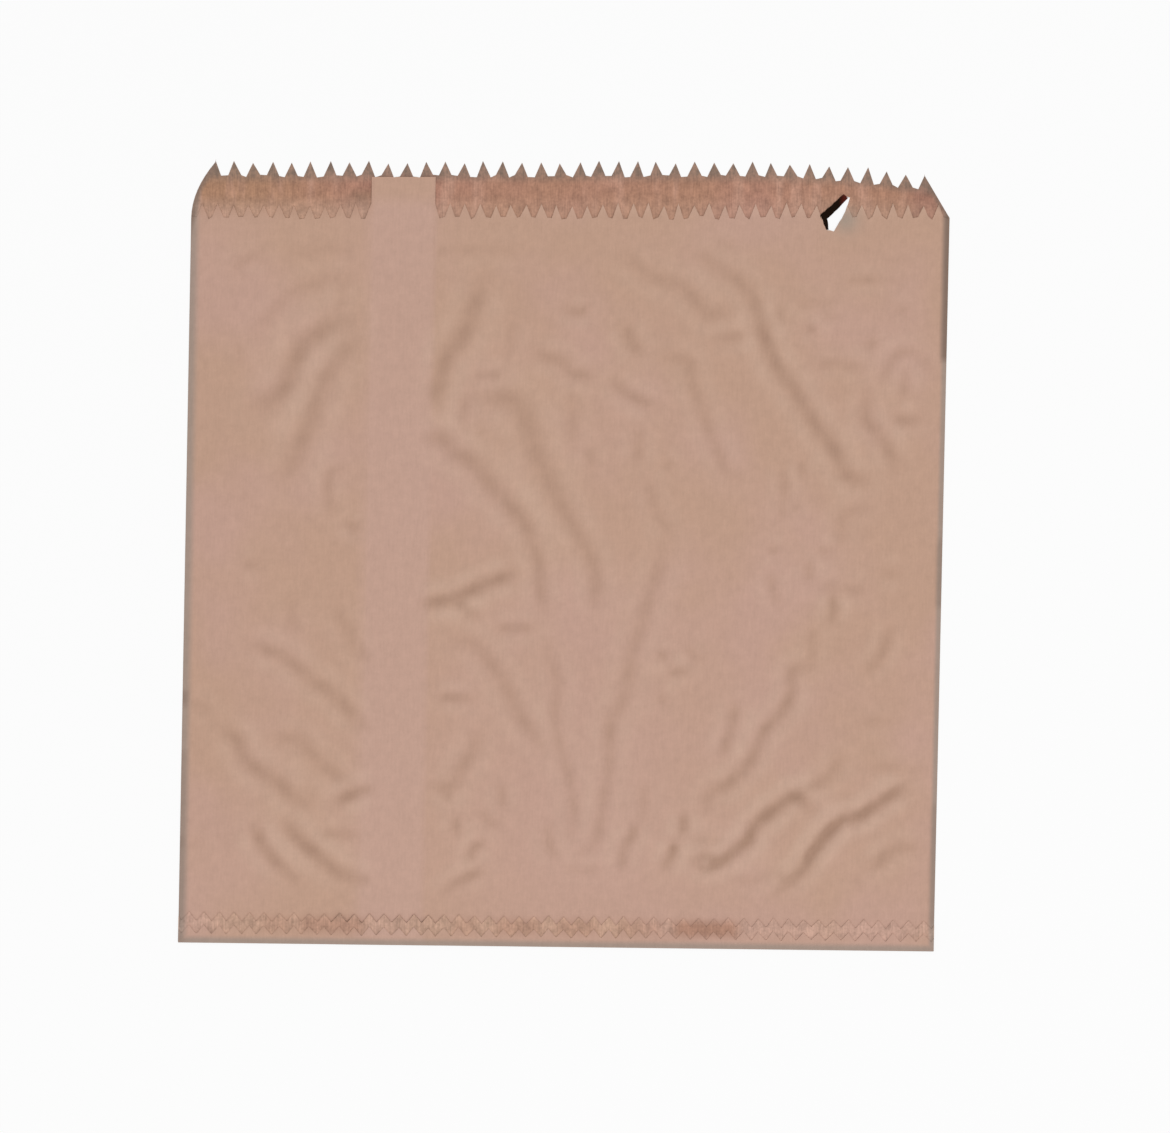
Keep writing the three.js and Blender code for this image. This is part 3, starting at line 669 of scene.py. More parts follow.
class RolledSheet:
    """The whole sheet of paper, rolled, lapped and folded, as one closed mesh."""

    near_step = 1.1 * MM
    far_step = 20 * MM
    ramp_step = 1.6 * MM
    # Where the far ply's first column inside its rim lies, so that the painted shade along the side folds
    # fades over it.
    fold_shade_reach = 1.6 * MM
    row_step = 1.1 * MM
    side_steps = 6
    fold_steps = 8
    edge_columns = (0.25 * MM, 0.6 * MM, 1.0 * MM)

    def __init__(self, form: SheetForm) -> None:
        """Keeps the form that the mesh follows."""
        self.form = form

    def between(self, start: float, end: float, step: float) -> np.ndarray:
        """Gives evenly spaced places from start to end, about a step apart."""
        return np.linspace(start, end, max(1, round(abs(end - start) / step)) + 1)

    def far_places(self, rim: np.ndarray) -> np.ndarray:
        """Lists the far ply's columns from right to left.

        They are close together at the side folds and where the bottom fold swells over the lap.

        Args:
            rim: The columns beside the right fold, from left to right.

        Returns:
            Each column's place across.
        """
        form = self.form
        start, ramp = form.hidden_lap - form.sizes.lap_ramp, form.sizes.fold_ramp
        end = form.visible_lap + ramp
        edge = rim[0] - self.fold_shade_reach
        parts = [
            -rim[::-1],
            self.between(-edge, start - ramp, self.far_step),
            self.between(start - ramp, start, self.ramp_step)[1:],
            self.between(start, form.visible_lap, self.far_step)[1:],
            self.between(form.visible_lap, end, self.ramp_step)[1:],
            self.between(end, edge, self.far_step)[1:],
            rim,
        ]
        return np.concatenate(parts)[::-1]

    def across(self) -> tuple[np.ndarray, np.ndarray]:
        """Lists the sheet's columns, from the hidden lap edge round to the visible one.

        Returns:
            Each column's place across, and its kind: 0 near, 1 near over the lap, or the
            turn of a side fold or the far ply as a negative number.
        """
        form = self.form
        flat = form.half_width - form.side_radius - form.half_paper
        rim = flat - np.array(self.edge_columns[::-1])
        laps = self.between(form.hidden_lap, form.visible_lap, self.near_step)
        right = self.between(form.visible_lap, rim[0], self.near_step)[1:-1]
        left = self.between(-rim[0], form.hidden_lap - form.sizes.lap_ramp, self.near_step)[1:]
        turns = np.linspace(0, math.pi, self.side_steps + 1)
        far = self.far_places(rim)
        parts = [
            (laps, 0.0),
            (np.concatenate([right, rim]), 0.0),
            (flat + form.side_radius * np.sin(turns), -turns),
            (far, -math.pi),
            (-flat - form.side_radius * np.sin(turns[::-1]), -turns[::-1]),
            (np.concatenate([-rim[::-1], left]), 0.0),
            (laps, 1.0),
        ]
        places = np.concatenate([np.broadcast_to(place, np.shape(place)) for place, _ in parts])
        kinds = np.concatenate([np.broadcast_to(kind, np.shape(place)) for place, kind in parts])
        return places, kinds

    def heights(self, x: np.ndarray, kinds: np.ndarray, near: np.ndarray) -> np.ndarray:
        """Gives the sheet's middle heights along rows whose near ply has the heights given.

        Args:
            x: The columns' places across.
            kinds: The columns' kinds.
            near: The near ply's heights.

        Returns:
            The height of each point of the rows.
        """
        form = self.form
        turned = form.far_level + form.side_radius * (1 + np.cos(kinds))
        over = form.lap_step + (form.feather_lift - form.lap_step) * form.feather(x)
        return np.where(kinds < 0, turned, near + np.where(kinds > 0, over, 0))

    def half_thickness(self, x: np.ndarray, kinds: np.ndarray) -> np.ndarray:
        """Gives half the sheet's thickness at each column: thin at the visible lap edge.

        Args:
            x: The columns' places across.
            kinds: The columns' kinds.

        Returns:
            The half thickness of each column.
        """
        form = self.form
        thinned = form.half_paper + (form.feather_half - form.half_paper) * form.feather(x)
        return np.where(kinds > 0, thinned, form.half_paper)

    def offset(self, rows: np.ndarray, distance: np.ndarray) -> np.ndarray:
        """Moves rows off the sheet's middle by each column's distance, with their corners mitred.

        Args:
            rows: The sheet's middle, as rows of points.
            distance: How far each column moves.

        Returns:
            The moved rows.
        """
        steps = np.diff(rows, axis=1)
        steps /= np.linalg.norm(steps, axis=2, keepdims=True)
        before = np.concatenate([steps[:, :1], steps], axis=1)
        after = np.concatenate([steps, steps[:, -1:]], axis=1)
        along = before + after
        along /= np.linalg.norm(along, axis=2, keepdims=True)
        mitre = np.sum(along * after, axis=2, keepdims=True)
        normal = np.stack([-along[..., 1], along[..., 0]], axis=2)
        return rows + normal * distance[:, None] / mitre

    def placed(self, pressed: np.ndarray, body: np.ndarray, ys: np.ndarray) -> np.ndarray:
        """Puts a face's rows in their places, from the flap's end up to the mouth.

        Args:
            pressed: One row where all is pressed flat, for the flap and the bottom fold.
            body: The body's rows.
            ys: The body rows' places along the bag.

        Returns:
            The vertices, as an array of rows.
        """
        form = self.form
        x, height = pressed[..., 0], pressed[..., 1]
        radius = form.fold_radii(x)
        bottom = form.skewed(x, np.zeros_like(x))
        flap_ys = self.between(form.flap_end, form.fold_radius, self.row_step)[:-1]
        rows = [np.stack([x, bottom + y, 2 * radius - height], axis=1) for y in flap_ys]
        for turn in np.linspace(math.pi, 0, self.fold_steps + 1):
            reach = radius - height
            rows.append(np.stack([
                x,
                bottom + radius - reach * math.sin(turn),
                radius - reach * math.cos(turn),
            ], axis=1))
        for row, y in zip(body, ys):
            rows.append(np.stack([row[:, 0], form.skewed(row[:, 0], y), row[:, 1]], axis=1))
        return np.array(rows)

    def build(self) -> bpy.types.Mesh:
        """Makes the closed sheet, with its outer, inner and cut faces told apart.

        Returns:
            The mesh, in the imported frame.
        """
        form = self.form
        x, kinds = self.across()
        ys = self.between(form.fold_radius, form.mouth_end, self.row_step)[1:]
        near = form.near_height(x[None, :], ys[:, None])
        body = np.stack([np.broadcast_to(x, near.shape), self.heights(x, kinds, near)], axis=2)
        level = np.full(x.shape, form.near_level)
        pressed = np.stack([x, self.heights(x, kinds, level)], axis=1)[None]
        faces = []
        half = self.half_thickness(x, kinds)
        for distance in (half, -half):
            faces.append(self.placed(self.offset(pressed, distance)[0], self.offset(body, distance), ys))
        return self.closed_mesh(*faces)

    def closed_mesh(self, outer: np.ndarray, inner: np.ndarray) -> bpy.types.Mesh:
        """Joins the two faces of the sheet into one closed mesh.

        Args:
            outer: The outer face's points, row by row.
            inner: The inner face's points, row by row.

        Returns:
            The mesh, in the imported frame.
        """
        rows, columns = outer.shape[:2]
        count = rows * columns
        number = np.arange(count).reshape(rows, columns)
        a, b = number[:-1, :-1].ravel(), number[:-1, 1:].ravel()
        c, d = number[1:, 1:].ravel(), number[1:, :-1].ravel()
        top = np.stack([a, b, c, d], axis=1)
        under = np.stack([a, d, c, b], axis=1) + count
        rim = np.concatenate([number[0, :], number[1:, -1], number[-1, -2::-1], number[-2:0:-1, 0]])
        following = np.roll(rim, -1)
        walls = np.stack([following, rim, rim + count, following + count], axis=1)
        quads = np.concatenate([top, under, walls])
        points = np.concatenate([outer.reshape(-1, 3), inner.reshape(-1, 3)])
        points[:, 1] += self.form.bottom_y
        mesh = bpy.data.meshes.new("sheet")
        mesh.from_pydata(points.tolist(), [], quads.tolist())
        sides = np.repeat([Face.OUTER, Face.INNER, Face.CUT], [len(top), len(under), len(walls)])
        mesh.polygons.foreach_set("material_index", sides.astype(np.int32))
        return mesh


@dataclass(frozen=True)
class Step:
    """A smooth step from low at start to high at end."""

    start: float
    end: float
    low: float = 0.0
    high: float = 1.0


@dataclass(frozen=True)
class Noise:
    """One noise: its scale in cycles a metre, its detail, its share of the shade, how it is
    squeezed across and along the bag, and its distortion."""

    scale: float
    detail: float
    share: float = 1.0
    across: float = 1.0
    along: float = 1.0
    distortion: float = 0.0


class TreeWriter:
    """Adds nodes to a node tree and joins them."""

    def __init__(self, tree: bpy.types.NodeTree) -> None:
        """Keeps the tree that the nodes go into."""
        self.tree = tree

    def add(self, kind: str, inputs: dict | None = None, **settings: object) -> bpy.types.Node:
        """Adds one node.

        Args:
            kind: Blender's name for the node.
            inputs: What goes into its inputs, by name or number: a value or a socket.
            settings: The node's own settings.

        Returns:
            The new node.
        """
        made = self.tree.nodes.new(kind)
        for name, value in settings.items():
            setattr(made, name, value)
        for key, value in (inputs or {}).items():
            if isinstance(value, bpy.types.NodeSocket):
                self.tree.links.new(value, made.inputs[key])
            else:
                made.inputs[key].default_value = value
        return made

    def maths(self, operation: str, *values: object) -> bpy.types.NodeSocket:
        """Adds a Math node on the values and gives its result."""
        return self.add("ShaderNodeMath", dict(enumerate(values)), operation=operation).outputs[0]

    def times(self, one: object, other: object) -> bpy.types.NodeSocket:
        """Adds a Math node that multiplies two values."""
        return self.maths("MULTIPLY", one, other)

    def ramp(self, value: object, start: object, end: object, low: float = 0.0,
             high: float = 1.0) -> bpy.types.NodeSocket:
        """Turns a value's stretch from start to end into a smooth step from low to high."""
        inputs = {0: value, 1: start, 2: end, 3: low, 4: high}
        return self.add("ShaderNodeMapRange", inputs, interpolation_type="SMOOTHSTEP").outputs[0]

    def step(self, value: object, step: Step) -> bpy.types.NodeSocket:
        """Turns a value into a named smooth step."""
        return self.ramp(value, step.start, step.end, step.low, step.high)

    def noise(self, place: object, noise: Noise) -> bpy.types.NodeSocket:
        """Adds a noise that reads a place, and gives its value.

        Args:
            place: The place that the nodes read.
            noise: The noise.

        Returns:
            The noise's value.
        """
        squeeze = {"Vector": place, "Scale": (noise.across, noise.along, 1.0)}
        return self.add("ShaderNodeTexNoise", {
            "Vector": self.add("ShaderNodeMapping", squeeze).outputs[0],
            "Scale": noise.scale, "Detail": noise.detail, "Distortion": noise.distortion,
        }).outputs[0]

    def layer(self, under: object, over: object, cover: object) -> bpy.types.NodeSocket:
        """Lays one colour over another where the cover is above 0.

        Args:
            under: The colour below.
            over: The colour on top.
            cover: How much of the lower colour is covered.

        Returns:
            The mixed colour.
        """
        mix = self.add("ShaderNodeMix", data_type="RGBA")
        for number, value in ((0, cover), (6, under), (7, over)):
            if isinstance(value, bpy.types.NodeSocket):
                self.tree.links.new(value, mix.inputs[number])
            else:
                mix.inputs[number].default_value = value
        return mix.outputs[2]


def fresh_nodes(owner: bpy.types.Material | bpy.types.World) -> TreeWriter:
    """Empties the node tree of a material or a world, and gives a writer for it.

    Args:
        owner: The material or the world.

    Returns:
        The writer.
    """
    owner.use_nodes = True
    owner.node_tree.nodes.clear()
    return TreeWriter(owner.node_tree)


def put(name: str, data: object) -> bpy.types.Object:
    """Puts a mesh, a lamp or a camera in the scene, as an object of its own.

    Args:
        name: The object's name.
        data: What it shows.

    Returns:
        The object.
    """
    made = bpy.data.objects.new(name, data)
    bpy.context.scene.collection.objects.link(made)
    return made


class PinkingBlade:
    """A toothed blade that a Geometry Nodes tree makes, to cut a pinked edge with."""

    merge_distance = 0.001 * MM
    tooth_corners = 3.0
    inputs = {
        "Teeth": "NodeSocketInt",
        "Seed": "NodeSocketInt",
        "Material": "NodeSocketMaterial",
        **dict.fromkeys((
            "Start", "Pitch", "Tooth Depth", "Valley Width", "Tip Level", "Slope",
            "Dip", "Dip Start", "Dip Width", "Depth Scatter", "Side Scatter", "Waste",
            "Bottom", "Lift", "Lift Start", "Lift End", "Lift Ramp", "Thickness",
        ), "NodeSocketFloat"),
    }

    def __init__(self) -> None:
        """Makes the tree, once for all blades."""
        self.tree = bpy.data.node_groups.new("pinking_blade", "GeometryNodeTree")
        interface = self.tree.interface
        interface.new_socket("Geometry", in_out="INPUT", socket_type="NodeSocketGeometry")
        interface.new_socket("Geometry", in_out="OUTPUT", socket_type="NodeSocketGeometry")
        for name, kind in self.inputs.items():
            interface.new_socket(name, in_out="INPUT", socket_type=kind)
        self.write()

    def write(self) -> None:
        """Writes the tree: a zigzag line, drawn back into a plate and given its thickness."""
        w = TreeWriter(self.tree)
        given = w.add("NodeGroupInput").outputs
        third = w.maths("DIVIDE", given["Pitch"], self.tooth_corners)
        points = w.maths("MULTIPLY_ADD", given["Teeth"], self.tooth_corners, 1.0)
        start = w.add("ShaderNodeCombineXYZ", {"X": given["Start"]}).outputs[0]
        step = w.add("ShaderNodeCombineXYZ", {"X": third}).outputs[0]
        line = w.add("GeometryNodeMeshLine", {"Count": points, "Start Location": start, "Offset": step})
        index = w.add("GeometryNodeInputIndex").outputs[0]
        place = w.add("GeometryNodeInputPosition").outputs[0]
        even_x = w.add("ShaderNodeSeparateXYZ", {0: place}).outputs["X"]
        corner = w.maths("MODULO", index, self.tooth_corners)
        valley = w.maths("MINIMUM", corner, 1.0)
        side = w.times(w.maths("MULTIPLY_ADD", corner, 2.0, -self.tooth_corners), valley)
        half_valley = w.times(w.times(given["Valley Width"], given["Pitch"]), 0.5)
        spread = w.maths("SUBTRACT", half_valley, w.times(third, 0.5))
        x = w.maths("MULTIPLY_ADD", side, spread, even_x)
        other_seed = w.maths("ADD", given["Seed"], 1.0)
        shifts = []
        for seed, scatter in ((given["Seed"], "Depth Scatter"), (other_seed, "Side Scatter")):
            inputs = {2: -1.0, 3: 1.0, 8: seed}
            drawn = w.add("FunctionNodeRandomValue", inputs, data_type="FLOAT").outputs[1]
            shifts.append(w.times(drawn, given[scatter]))
        past_start = w.maths("MAXIMUM", w.maths("SUBTRACT", x, given["Dip Start"]), 0.0)
        share = w.maths("DIVIDE", past_start, given["Dip Width"])
        dip = w.times(w.times(share, share), given["Dip"])
        level = w.maths("MULTIPLY_ADD", x, given["Slope"], given["Tip Level"])
        tips = w.maths("ADD", w.maths("SUBTRACT", level, dip), shifts[0])
        y = w.maths("SUBTRACT", tips, w.times(valley, given["Tooth Depth"]))
        before = w.maths("SUBTRACT", given["Lift Start"], given["Lift Ramp"])
        beyond = w.maths("ADD", given["Lift End"], given["Lift Ramp"])
        rising = w.ramp(x, before, given["Lift Start"])
        lifted = w.times(rising, w.ramp(x, given["Lift End"], beyond, 1.0, 0.0))
        bottom = w.maths("MULTIPLY_ADD", lifted, given["Lift"], given["Bottom"])
        zigzag_place = w.add(
            "ShaderNodeCombineXYZ",
            {"X": w.maths("ADD", x, shifts[1]), "Y": y, "Z": bottom},
        ).outputs[0]
        zigzag = w.add("GeometryNodeSetPosition", {"Geometry": line.outputs[0], "Position": zigzag_place})
        back = w.add("ShaderNodeCombineXYZ", {"Y": given["Waste"]}).outputs[0]
        up = w.add("ShaderNodeCombineXYZ", {"Z": given["Thickness"]}).outputs[0]
        plate = w.add("GeometryNodeExtrudeMesh", {"Mesh": zigzag.outputs[0], "Offset": back}, mode="EDGES")
        body = w.add(
            "GeometryNodeExtrudeMesh",
            {"Mesh": plate.outputs[0], "Offset": up, "Individual": False},
            mode="FACES",
        )
        under = w.add("GeometryNodeFlipFaces", {"Mesh": plate.outputs[0]})
        both = w.add("GeometryNodeJoinGeometry")
        for part in (body, under):
            self.tree.links.new(part.outputs[0], both.inputs[0])
        merged = w.add("GeometryNodeMergeByDistance", {0: both.outputs[0], "Distance": self.merge_distance})
        real = w.add("GeometryNodeRealizeInstances", {0: merged.outputs[0]})
        dressed = w.add("GeometryNodeSetMaterial", {0: real.outputs[0], "Material": given["Material"]})
        w.add("NodeGroupOutput", {0: dressed.outputs[0]})

    def make(self, name: str, pinking: Pinking, span: tuple[float, float], level: float, slope: float,
             heights: tuple[float, float], waste: float, material: bpy.types.Material,
             dip: tuple[float, float, float] = (0.0, 0.0, 1.0),
             lift: tuple[float, float, float, float] = (0.0, 0.0, 0.0, 1.0)) -> bpy.types.Object:
        """Makes one blade.

        Args:
            name: The blade's name.
            pinking: Its teeth.
            span: Where it starts and ends across the bag.
            level: Where its tips lie in the middle of the bag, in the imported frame.
            slope: How its line rises across the bag.
            heights: The lowest and highest height that it cuts.
            waste: How far past its teeth it takes the paper away.
            material: The finish that it leaves on the edge.
            dip: How far its line dips, from where across, and over what width.
            lift: How far its bottom rises, from where to where across, and over what ramp.

        Returns:
            The blade, as an object of the scene.
        """
        teeth = max(1, round((span[1] - span[0]) / pinking.pitch))
        values = {
            "Start": span[0],
            "Pitch": (span[1] - span[0]) / teeth,
            "Teeth": teeth,
            "Tooth Depth": pinking.tooth,
            "Valley Width": pinking.valley,
            "Tip Level": level,
            "Slope": slope,
            "Dip": dip[0],
            "Dip Start": dip[1],
            "Dip Width": dip[2],
            "Depth Scatter": pinking.depth_scatter,
            "Side Scatter": pinking.side_scatter,
            "Waste": waste,
            "Bottom": heights[0],
            "Lift": lift[0],
            "Lift Start": lift[1],
            "Lift End": lift[2],
            "Lift Ramp": lift[3],
            "Thickness": heights[1] - heights[0],
            "Seed": pinking.seed,
            "Material": material,
        }
        blade = put(name, bpy.data.meshes.new(name))
        modifier = blade.modifiers.new("pinking", "NODES")
        modifier.node_group = self.tree
        for item in self.tree.interface.items_tree:
            if item.in_out == "INPUT" and item.name in values:
                modifier[item.identifier] = values[item.name]
        settle(blade)
        outward(blade.data)
        return blade


def settle(piece: bpy.types.Object) -> None:
    """Turns a piece's modifiers into its plain mesh.

    Args:
        piece: The piece, as an object of the scene.
    """
    depsgraph = bpy.context.evaluated_depsgraph_get()
    plain = bpy.data.meshes.new_from_object(piece.evaluated_get(depsgraph))
    old = piece.data
    piece.modifiers.clear()
    piece.data = plain
    bpy.data.meshes.remove(old)


def outward(mesh: bpy.types.Mesh) -> None:
    """Turns a closed mesh's faces outward.

    Args:
        mesh: The mesh, which is changed.
    """
    made = bmesh.new()
    made.from_mesh(mesh)
    bmesh.ops.recalc_face_normals(made, faces=made.faces)
    made.to_mesh(mesh)
    made.free()


def prism(name: str, outline: list[tuple[float, float]], heights: tuple[float, float],
          material: bpy.types.Material) -> bpy.types.Object:
    """Makes a solid from a flat outline, to cut with.

    Args:
        name: The solid's name.
        outline: Its corners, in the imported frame.
        heights: Its lowest and highest height.
        material: The finish that it leaves on a cut.

    Returns:
        The solid, as an object of the scene.
    """
    made = bmesh.new()
    base = made.faces.new([made.verts.new((x, y, heights[0])) for x, y in outline])
    top = bmesh.ops.extrude_face_region(made, geom=[base])["geom"]
    rise = Vector((0, 0, heights[1] - heights[0]))
    bmesh.ops.translate(made, verts=[v for v in top if isinstance(v, bmesh.types.BMVert)], vec=rise)
    bmesh.ops.recalc_face_normals(made, faces=made.faces)
    mesh = bpy.data.meshes.new(name)
    made.to_mesh(mesh)
    made.free()
    mesh.materials.append(material)
    return put(name, mesh)


@dataclass
class Tear:
    """The torn hole near the mouth's right corner, with a lip of paper turned under, painted nearly black
    as deep shadow.

    Corners count from the hole's middle, in millimetres. The lip's outer edge is the hole's
    long slanted side and the short side below it.
    """

    form: SheetForm
    from_right: float = 30 * MM
    below_lip: float = 2.3 * MM
    corners: tuple[tuple[float, float], ...] = (
        (1.9, 4.8), (-4.0, -0.8), (-2.6, -4.4), (-0.5, -4.8), (2.1, -0.4), (3.6, 4.1),
    )
    lip_outside: tuple[tuple[float, float], ...] = ((2.0, 5.0), (-1.1, 2.1), (-4.2, -0.7), (-2.7, -4.6))
    lip_inside: tuple[tuple[float, float], ...] = ((3.1, 4.0), (0.3, 0.9), (-2.2, -1.6), (-1.9, -4.5))
    side_steps: int = 5
    ragged: float = 0.1 * MM
    hole_seed: int = 21
    lip_outside_seed: int = 22
    lip_inside_seed: int = 23
    lip_rise: float = 0.025 * MM
    lip_drop: float = 0.1 * MM

    def centre(self) -> tuple[float, float]:
        """Gives the hole's middle, as a place on the bag."""
        x = self.form.half_width - self.from_right
        return x, float(self.form.lip_tips(x)) - self.below_lip

    def ragged_line(self, corners: tuple[tuple[float, float], ...], seed: int) -> np.ndarray:
        """Draws the straight sides between corners as a torn edge.

        Args:
            corners: The corners, in millimetres from the hole's middle.
            seed: Which of the possible torn edges to draw.

        Returns:
            The line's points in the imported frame.
        """
        draw = np.random.default_rng(seed)
        shares = np.arange(self.side_steps) / self.side_steps
        points = []
        for start, end in zip(np.array(corners), np.array(corners[1:])):
            points += [start + (end - start) * share for share in shares]
        points = np.array([*points, corners[-1]]) * MM
        points += draw.uniform(-self.ragged, self.ragged, points.shape)
        x, y = self.centre()
        return points + (x, y + self.form.bottom_y)

    def outline(self) -> list[tuple[float, float]]:
        """Draws the hole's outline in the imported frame."""
        closed = self.ragged_line((*self.corners, self.corners[0]), self.hole_seed)
        return [tuple(point) for point in closed[:-1]]

    def torn_lip(self) -> bpy.types.Mesh:
        """Makes the strip of paper that is turned under along the hole's upper left edge.

        Returns:
            The strip, closed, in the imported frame.
        """
        paper = self.form.sizes.paper
        x, y = self.centre()
        level = float(self.form.near_height(np.array(x), np.array(y))) + self.form.half_paper
        made = bmesh.new()
        sections = []
        outer_edge = self.ragged_line(self.lip_outside, self.lip_outside_seed)
        inner_edge = self.ragged_line(self.lip_inside, self.lip_inside_seed)
        for outside, inside in zip(outer_edge, inner_edge):
            sections.append([
                made.verts.new((*outside, level + self.lip_rise)),
                made.verts.new((*inside, level - self.lip_drop)),
                made.verts.new((*inside, level - self.lip_drop - paper)),
                made.verts.new((*outside, level - paper)),
            ])
        for before, after in zip(sections, sections[1:]):
            for k in range(len(before)):
                following = (k + 1) % len(before)
                made.faces.new((before[k], after[k], after[following], before[following]))
        made.faces.new(sections[0])
        made.faces.new(sections[-1][::-1])
        bmesh.ops.recalc_face_normals(made, faces=made.faces)
        mesh = bpy.data.meshes.new("torn_lip")
        made.to_mesh(mesh)
        made.free()
        return mesh


@dataclass(frozen=True)
class KraftTints:
    """The colours of brown kraft paper, outside and inside, and the painted shade, highlight and shadow
    laid over it.
    """

    tan: Colour = srgb(191, 155, 134)
    pink: Colour = srgb(194, 157, 141)
    # Painted shade in the wrinkles' troughs.
    trough_shade: Colour = srgb(169, 135, 115)
    # Painted highlight on the wrinkles' shoulders, also used to pale the lip's teeth.
    ridge: Colour = srgb(206, 174, 154)
    seam: Colour = srgb(195, 159, 143)
    # The far ply's inner face: partly the paper's darker inner side, partly painted shade inside the mouth.
    inner_tan: Colour = srgb(172, 128, 105)
    inner_red: Colour = srgb(174, 127, 110)
    inner_olive: Colour = srgb(164, 127, 97)
    # Painted shadow beside the tongue's base.
    tongue_shadow: Colour = srgb(146, 112, 92)
    inner_purple: Colour = srgb(148, 100, 90)
    inner_streak: Colour = srgb(192, 148, 128)
    tooth: Colour = srgb(136, 116, 103)
    patch: Colour = srgb(170, 128, 108)
    # Painted shade along the side and bottom folds.
    shaded_fold: Colour = srgb(157, 140, 129)
    # The painted shade of the side folds' dark stretches, also used for the dark mouth corners.
    dark_edge: Colour = srgb(132, 110, 97)
    # Painted shadow on the paper below the hole, to its right.
    tear_shadow: Colour = srgb(160, 146, 133)
    # Raw cut paper, painted lighter to offset the shade beside the cut edges.
    raw_with_painted_light: Colour = srgb(200, 168, 148)
    # Painted deep shadow of the torn lip, nearly black.
    torn: Colour = srgb(24, 13, 6)
    # The torn lip's painted shadow where it turns reddish, at its upper right end.
    torn_shadow_red: Colour = srgb(80, 28, 20)


@dataclass(frozen=True)
class PaperGrain:
    """The noises that all faces of the paper share: its zones of tint, and its shades."""

    zones: Noise = Noise(26.0, 2.0)
    zone: Step = Step(0.4, 0.72)
    shades: tuple[Noise, ...] = (
        Noise(420.0, 4.0),
        Noise(260.0, 3.0, share=0.8, across=9.0, distortion=0.4),
        Noise(1500.0, 2.0, share=0.6),
    )


@dataclass(frozen=True)
class FoldShade:
    """How wide the painted shade along the folds and the dark mouth corners are, and how strongly they
    show.
    """

    width: float = 2.4 * MM
    full_share: float = 0.25
    left_share: float = 1.25
    right_share: float = 0.8
    cover: float = 0.85
    corner: Step = Step(0.2 * MM, 1.7 * MM, 1.0, 0.0)
    corner_cover: float = 0.8
    corner_bend: float = 0.25


@dataclass(frozen=True)
class OuterLooks:
    """How strongly the outer face's marks show, and where they begin and end."""

    grain: float = 0.16
    seam: Step = Step(0.0, 4.0 * MM, 0.85, 0.3)
    tongue: Step = Step(-2.0 * MM, 4.0 * MM, 0.0, 0.8)
    patch: float = 0.7
    # How strongly the painted highlight on the wrinkles' shoulders shows.
    ridge: float = 0.45
    tooth: Step = Step(-4.5 * MM, 0.5 * MM)
    shaded_tooth: Step = Step(-50 * MM, -10 * MM, 0.5, 0.1)
    pale_tooth: Step = Step(-50 * MM, -10 * MM, 0.1, 0.35)


@dataclass(frozen=True)
class InnerLooks:
    """How strongly the inner face's tints show, and where they begin and end.

    The painted shadow lies beside the tongue, low on the band.
    """

    grain: float = 0.75
    streaks: Noise = Noise(1.0, 2.0, across=260.0, along=45.0)
    streak: Step = Step(0.5, 0.75, 0.0, 0.7)
    olive: Step = Step(-60 * MM, -90 * MM, 0.0, 0.55)
    dark_left: Step = Step(-62 * MM, -55 * MM)
    dark_right: Step = Step(-50 * MM, -34 * MM, 1.0, 0.0)
    dark_top: Step = Step(5.0 * MM, 2.0 * MM, 0.0, 0.8)
    purple: Step = Step(86 * MM, 93 * MM, 0.0, 0.5)
    greyed: Step = Step(6.2 * MM, 2.4 * MM, 0.0, 0.95)
    uneven: Step = Step(0.3, 0.7, 1.0, 0.7)
    faded: Step = Step(3.5 * MM, -2.5 * MM)
    paler_left: Step = Step(-50 * MM, -10 * MM, 0.65, 0.3)


